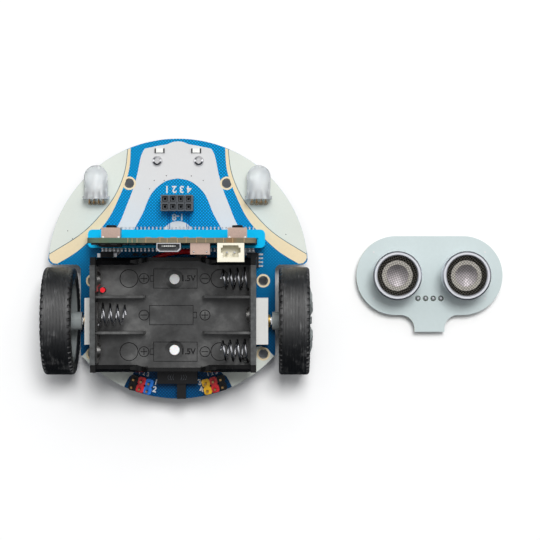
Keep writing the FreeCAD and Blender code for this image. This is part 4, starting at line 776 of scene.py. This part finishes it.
def board_details():
    """The sensor socket's mouths and seams, the indicator lamps' dark ends and ridges on the switch."""
    low, high = node_box("sensor_socket")
    top, mid_y = high.z, (low.y + high.y) / 2
    mouths = [square for x in (-3.81, -1.27, 1.27, 3.81) for y in (mid_y - 1.27, mid_y + 1.27)
              for square in (square_outline(x, y, 0.90), square_outline(x, y, 0.62))]
    add_piece("socket_mouths", flat_mesh(mouths, top, INK), "hole_dark", "chassis")
    seams = [([(k * PIN_PITCH, low.y + 0.3, top), (k * PIN_PITCH, high.y - 0.3, top)], False)
             for k in (-1, 0, 1)]
    seams.append(([(low.x + 0.1, mid_y, top), (high.x - 0.1, mid_y, top)], False))
    add_piece("socket_seams", stroke_mesh(seams, 0.07), "hole_dark", "chassis")
    ends = [[(x - 0.22, 38.0), (x + 0.22, 38.0), (x + 0.22, 39.4), (x - 0.22, 39.4)]
            for x in (-7.4, -4.6, 4.6, 7.4)]
    add_piece("indicator_ends", flat_mesh(ends, BOARD_TOP, 0.84), "chip_black", "chassis")
    low, high = node_box("power_switch_case")
    ridges = [([(x, low.y + 1.2, high.z), (x * 1.2, low.y + 2.1, high.z), (x, low.y + 3.0, high.z)], False)
              for x in (-2.6, -1.9, -1.2, 1.2, 1.9, 2.6)]
    add_piece("switch_ridges", stroke_mesh(ridges, 0.09), "socket_grey", "chassis")


def lamp_insides():
    """The cup, posts and bond seen through each headlight's lens."""
    low, high = node_box("headlight_lenses")
    z = low.z + 2.6
    for side, name in ((-1, "left"), (1, "right")):
        x = side * (high.x - 4.4)
        posts = [([(x + dx, low.y + 1.0, z), (x + dx, low.y + 3.2, z)], False) for dx in LEAD_OFFSETS]
        cup = ([(x, low.y + 3.4, z), (x, high.y - 4.6, z)], False)
        add_piece(f"{name}_lamp_posts", stroke_mesh(posts, 0.4), "lamp_white", "chassis")
        add_piece(f"{name}_lamp_cup", stroke_mesh([cup], 1.3, 3), "lamp_white", "chassis",
                  True)


solder()
board_details()
lamp_insides()


# ---- tyres ------------------------------------------------------------------------------
NOTCHES = 50
STEPS_PER_NOTCH = 8
NOTCH_DEPTH, NOTCH_INSET = 0.35, 0.25


def tyre(side):
    """A moulded tyre: rounded shoulders cut by small notches, and a ribbed tread between them."""
    low, high = node_box(f"{side}_tyre")
    centre = (low + high) / 2
    half, radius = (high.x - low.x) / 2, (high.z - low.z) / 2
    bead_r = 13.6
    flank = [(bead_r, half - 0.7), (bead_r + 0.3, half - 0.25), (bead_r + 1.0, half), (radius - 2.2, half),
             (radius - 1.9, half - 0.12), (radius - 1.3, half - 0.10)]
    round_r = 1.1
    turns = [math.radians(a) for a in (0, 18, 36, 54, 72, 90)]
    shoulder = [(radius - round_r * (1 - math.sin(a)), half - round_r * (1 - math.cos(a))) for a in turns]
    ribs = 15
    span = half - 1.5
    tread = []
    for k in range(ribs):
        x = span - 2 * span * (k + 0.5) / ribs
        width = span / ribs
        tread += [(radius, x + width * 0.8), (radius - 0.02, x), (radius, x - width * 0.8),
                  (radius - 0.16, x - width)]
    profile = flank + shoulder + tread + [(r, -x) for r, x in reversed(flank + shoulder)]
    cut_from = len(flank) - 1
    cut_to = len(flank) + len(shoulder) - 1
    count = NOTCHES * STEPS_PER_NOTCH
    verts, faces = [], []
    last = len(profile) - 1
    for i, (r, x) in enumerate(profile):
        mirror_i = last - i
        outer = cut_from <= i < cut_to
        inner = cut_from <= mirror_i < cut_to
        for k in range(count):
            phase = (k + (STEPS_PER_NOTCH // 2 if inner else 0)) % STEPS_PER_NOTCH
            sunk = (outer or inner) and phase in (0, 1, 2)
            rr = r - NOTCH_DEPTH if sunk else r
            xx = x - math.copysign(NOTCH_INSET, x) if sunk else x
            a = 2 * math.pi * k / count
            verts.append(((centre.x + xx) * MM, (centre.y + rr * math.cos(a)) * MM,
                          (centre.z + rr * math.sin(a)) * MM))
    rows = len(profile)
    for i in range(rows):
        j = (i + 1) % rows
        for k in range(count):
            n = (k + 1) % count
            faces.append((i * count + k, i * count + n, j * count + n, j * count + k))
    mesh = bpy.data.meshes.new(f"{side}_tyre_tread")
    mesh.from_pydata(verts, [], faces)
    mesh.validate()
    piece = add_piece(f"{side}_tyre_tread", mesh, "tyre_rubber", f"{side}_wheel")
    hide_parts(f"{side}_tyre")


tyre("left")
tyre("right")


# ---- marks moulded into the battery tray ------------------------------------------------
def tray_marks():
    """Raised outlines of three cells, with plus and minus signs, and round ejector marks."""
    z = HOLDER_LOW.z + 1.9
    pitch = 11.75
    mid_x, mid_y = HOLDER_MID.x, HOLDER_MID.y - 0.25
    lines = []

    def rectangle(x0, x1, y0, y1):
        return ([(x0, y0, z), (x1, y0, z), (x1, y1, z), (x0, y1, z)], True)

    def circle(x, y, r):
        return ([(px, py, z) for px, py in ring(x, y, r, 28)], True)

    def bar(x0, y0, x1, y1):
        return ([(x0, y0, z), (x1, y1, z)], False)

    for k, plus in ((1, -1), (0, 1), (-1, -1)):
        y = mid_y + pitch * k
        shift = 0.3 if k else -1.0
        lines.append(rectangle(mid_x + shift - 7.0, mid_x + shift + 7.0, y - 3.1, y + 3.1))
        nub = mid_x + shift + plus * 7.0
        lines.append(([(nub, y - 0.9, z), (nub + plus * 1.1, y - 0.9, z), (nub + plus * 1.1, y + 0.9, z),
                       (nub, y + 0.9, z)], False))
        plus_x, minus_x = mid_x + plus * 9.8, mid_x - plus * 9.8
        for x in (plus_x, minus_x):
            lines += [circle(x, y, 1.6), bar(x - 1.1, y, x + 1.1, y)]
        lines.append(bar(plus_x, y - 1.1, plus_x, y + 1.1))
        if k:
            lines += [circle(mid_x - 14.6, y, 2.9), circle(mid_x + 14.6, y, 2.9)]
    add_piece("tray_marks", stroke_mesh(lines, 0.13), "holder_gloss", "chassis")
    for k in (1, -1):
        label(f"tray_volts_{'front' if k > 0 else 'rear'}", "1.5V", mid_x + 4.4, mid_y + pitch * k, z, 2.6, 0,
              material="holder_gloss")


tray_marks()


# ---- the sonar module -------------------------------------------------------------------
CAN_R = 8.0


def sonar_screens():
    """Woven wire screens over both eyes."""
    low, high = node_box("sonar_eye_screens")
    radius = (high.y - low.y) / 2 - 0.05
    mid_y = (low.y + high.y) / 2
    z = (low.z + high.z) / 2
    pitch, wave = 0.7, 0.08
    lines = []
    for centre_x, turn in ((low.x + radius + 0.05, 0.35), (high.x - radius - 0.05, 0.85)):
        c, s = math.cos(turn), math.sin(turn)
        count = int(radius / pitch)
        for k in range(-count, count + 1):
            offset = k * pitch
            reach = math.sqrt(max(0.0, radius ** 2 - offset ** 2))
            steps = max(2, int(2 * reach / (pitch / 2)))
            for across in (False, True):
                points = []
                for i in range(steps + 1):
                    t = -reach + 2 * reach * i / steps
                    lift = wave * math.cos(math.pi * (t / pitch + k + (1 if across else 0)))
                    dx, dy = (offset, t) if across else (t, offset)
                    points.append((centre_x + c * dx - s * dy, mid_y + s * dx + c * dy, z + lift))
                lines.append((points, False))
    piece = add_piece("sonar_wire_screens", stroke_mesh(lines, 0.055, 0), "mesh_wire", "sonar_module",
                      True)
    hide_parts("sonar_eye_screens")


def sonar_board_details():
    """Pin pads with their solder, and four tiny printed marks."""
    low, high = node_box("sonar_board")
    mid_x = (low.x + high.x) / 2
    mid_y = high.y - 13.1
    z = high.z
    pins = [(mid_x + (k - 1.5) * PIN_PITCH, mid_y - 7.6) for k in range(4)]
    pads = [outline for x, y in pins for outline in (ring(x, y, 0.95, 24), ring(x, y, 0.7, 24))]
    add_piece("sonar_pads", flat_mesh(pads, z, INK), "pad_ring", "sonar_module")
    dome = [(0.7, z), (0.66, z + 0.12), (0.5, z + 0.3), (0.33, z + 0.36)]
    add_piece("sonar_solder", lathe_mesh(dome, pins, 20), "tin", "sonar_module", True)
    marks = [(mid_x + sx * 18.5, mid_y + dy) for sx in (-1, 1) for dy in (7.8, -7.6)]
    add_piece("sonar_marks", lathe_mesh([(0.32, z), (0.32, z + INK), (0, z + INK)], marks, 16), "silk_white",
              "sonar_module")


def sonar_eye_details():
    """Inside each can: painted shade as a dark band under the rim, the dish with its rim, and the dark well
    round them.
    """
    board_high = node_box("sonar_board")[1]
    mid_y, z = board_high.y - 13.1, board_high.z
    low, high = node_box("sonar_eye_cans")
    spots = [(low.x + CAN_R, mid_y), (high.x - CAN_R, mid_y)]
    top = high.z
    # painted shade: a near-black band inside the can just under the rim, where the inner wall is shaded
    rim_shade = [(6.58, top - 1.0), (6.3, top - 0.95), (6.3, top - 1.25), (6.58, top - 1.3)]
    add_piece("sonar_rim_shade", lathe_mesh(rim_shade, spots, 64), "hole_dark", "sonar_module",
              True)
    rim_z = node_box("sonar_eye_cones")[1].z + 0.03    # just proud of the CAD cone's top ring
    rim = [(5.0, rim_z - 0.35), (5.0, rim_z), (3.65, rim_z), (3.55, rim_z - 0.15)]
    dish = [(3.55, rim_z - 0.15), (2.4, rim_z - 0.62), (1.2, rim_z - 1.0), (0.7, rim_z - 1.08),
            (0, rim_z - 1.1)]
    add_piece("sonar_dish_rims", lathe_mesh(rim, spots, 64), "cone_rim", "sonar_module")
    add_piece("sonar_dishes", lathe_mesh(dish, spots, 64), "cone_aluminium", "sonar_module",
              True)
    well = [(6.55, top - 1.6), (6.55, z + 1.65), (5.2, z + 1.62), (0, z + 1.62)]
    add_piece("sonar_wells", lathe_mesh(well, spots, 64), "hole_dark", "sonar_module", True)


sonar_screens()
sonar_board_details()
sonar_eye_details()


# ---- the controller card ----------------------------------------------------------------
def card_details():
    """Tracks on the card's top edge, USB contacts, the switches' joints and rivets, and contact strips."""
    low, high = CARD_LOW, CARD_HIGH
    ticks = [([(x, low.y + 0.1, high.z), (x, high.y - 0.1, high.z)], False)
             for x in (-13.2, -11.9, -10.4, -7.7, -3.4, -1.2, 1.9, 4.6, 7.7, 10.6, 13.4, 16.0, 18.8, 22.3)]
    add_piece("card_edge_tracks", stroke_mesh(ticks, 0.08), "track_tan", "card")
    case_top = node_box("button_a_plunger")[1].z + 1.25
    joints = [(side * BUTTON_X + dx, high.y + 0.35) for side in (-1, 1) for dx in (-2.45, 2.45)]
    blob = [(0.42, case_top - 0.05), (0.4, case_top + 0.1), (0.25, case_top + 0.22), (0, case_top + 0.26)]
    usb_low, usb_high = node_box("usb_socket")
    usb_x = (usb_low.x + usb_high.x) / 2
    fingers = [([(usb_x + k * 0.62, usb_high.y - 1.1, usb_high.z - 0.78),
                 (usb_x + k * 0.62, usb_high.y - 0.8, usb_high.z - 0.78)], False) for k in (-2, -1, 0, 1, 2)]
    add_piece("usb_contacts", stroke_mesh(fingers, 0.18), "lamp_white", "card")
    add_piece("button_joints", lathe_mesh(blob, joints, 16), "lamp_white", "card", True)
    reset_low = node_box("reset_plunger")[0]
    rivets = [(reset_low.x + 1.7 + sx * 2.0, 5.1) for sx in (-1, 1)]
    top = reset_low.z + 1.7 + 3.0
    head = [(0.3, top - 0.02), (0.26, top + 0.05), (0, top + 0.07)]
    add_piece("reset_rivets", lathe_mesh(head, rivets, 16), "screw_steel", "card", True)
    strips = []
    count = 37
    for k in range(count):
        x = low.x + 2.2 + (high.x - low.x - 4.4) * k / (count - 1)
        strips.append(([(x, high.y + 0.005, low.z + 0.6), (x, high.y + 0.005, low.z + 8.6)], False))
        strips.append(([(x, low.y - 0.005, low.z + 0.6), (x, low.y - 0.005, low.z + 8.6)], False))
    add_piece("card_contact_strips", stroke_mesh(strips, 0.05), "gold", "card")


card_details()


# ---- floor, light and camera ------------------------------------------------------------
def studio():
    """A pale floor, a broad key light beyond the car's front and an even sky."""
    floor_mesh = bpy.data.meshes.new("floor")
    reach = 6.0
    corners = [(-reach, -reach, 0), (reach, -reach, 0), (reach, reach, 0), (-reach, reach, 0)]
    floor_mesh.from_pydata(corners, [], [(0, 1, 2, 3)])
    floor = bpy.data.objects.new("floor", floor_mesh)
    bpy.context.scene.collection.objects.link(floor)
    paper = plain("floor_paper", (0.95, 0.95, 0.95, 1), 0.8, tint=0.004, bump=0.001, Specular_IOR_Level=0.0)
    floor_mesh.materials.append(paper.material)
    floor.visible_glossy = False

    # the key lights the surfaces and hides from reflections; the others only show in shiny surfaces
    for name, watts, size, spot in (("key", 20.3, 0.50, (0.19, 0.48, 1.60)),
                                    ("front_glint", 1.2, 0.36, (0.10, 0.62, 0.80)),
                                    ("left_glint", 1.3, 0.55, (-1.00, 0.20, 0.42)),
                                    ("right_glint", 1.3, 0.55, (1.00, 0.20, 0.42))):
        data = bpy.data.lights.new(name, "AREA")
        data.energy = watts
        data.size = size
        light = bpy.data.objects.new(name, data)
        light.location = spot
        light.rotation_euler = (Vector((0.03, 0, 0)) - light.location).to_track_quat("-Z", "Y").to_euler()
        light.visible_glossy = name != "key"
        light.visible_diffuse = name == "key"
        bpy.context.scene.collection.objects.link(light)
    overhead_sky()
    bpy.context.scene.view_settings.view_transform = "Standard"


def overhead_sky():
    """A white overhead, tilted towards the car's front, that falls away to a bluish dark on every side."""
    world = bpy.context.scene.world or bpy.data.worlds.new("studio")
    bpy.context.scene.world = world
    world.use_nodes = True
    tree = world.node_tree
    coords = tree.nodes.new("ShaderNodeTexCoord")
    facing = tree.nodes.new("ShaderNodeVectorMath")
    facing.operation = "DOT_PRODUCT"
    facing.inputs[1].default_value = Vector((0.08, 0.42, 0.90)).normalized()
    ramp = tree.nodes.new("ShaderNodeValToRGB")
    tree.links.new(coords.outputs["Generated"], facing.inputs[0])
    tree.links.new(facing.outputs["Value"], ramp.inputs["Fac"])
    tree.links.new(ramp.outputs["Color"], tree.nodes["Background"].inputs["Color"])
    elements = ramp.color_ramp.elements
    elements[0].position, elements[0].color = 0.0, (0.02, 0.024, 0.03, 1)
    elements[1].position, elements[1].color = 1.0, (1.0, 1.0, 1.0, 1)
    elements.new(0.55).color = (0.11, 0.12, 0.135, 1)
    elements.new(0.86).color = (0.85, 0.85, 0.85, 1)


CAMERA_X, CAMERA_Y, CAMERA_HEIGHT = 0.0302, -0.00046, 0.650


def camera():
    """Straight down from above, between car and module."""
    data = bpy.data.cameras.new("camera")
    data.lens = 129.5
    data.sensor_width = 36.0
    data.clip_start = 0.01
    data.clip_end = 30.0
    eye = bpy.data.objects.new("camera", data)
    eye.location = (CAMERA_X, CAMERA_Y, CAMERA_HEIGHT)
    bpy.context.scene.collection.objects.link(eye)
    bpy.context.scene.camera = eye


studio()
camera()
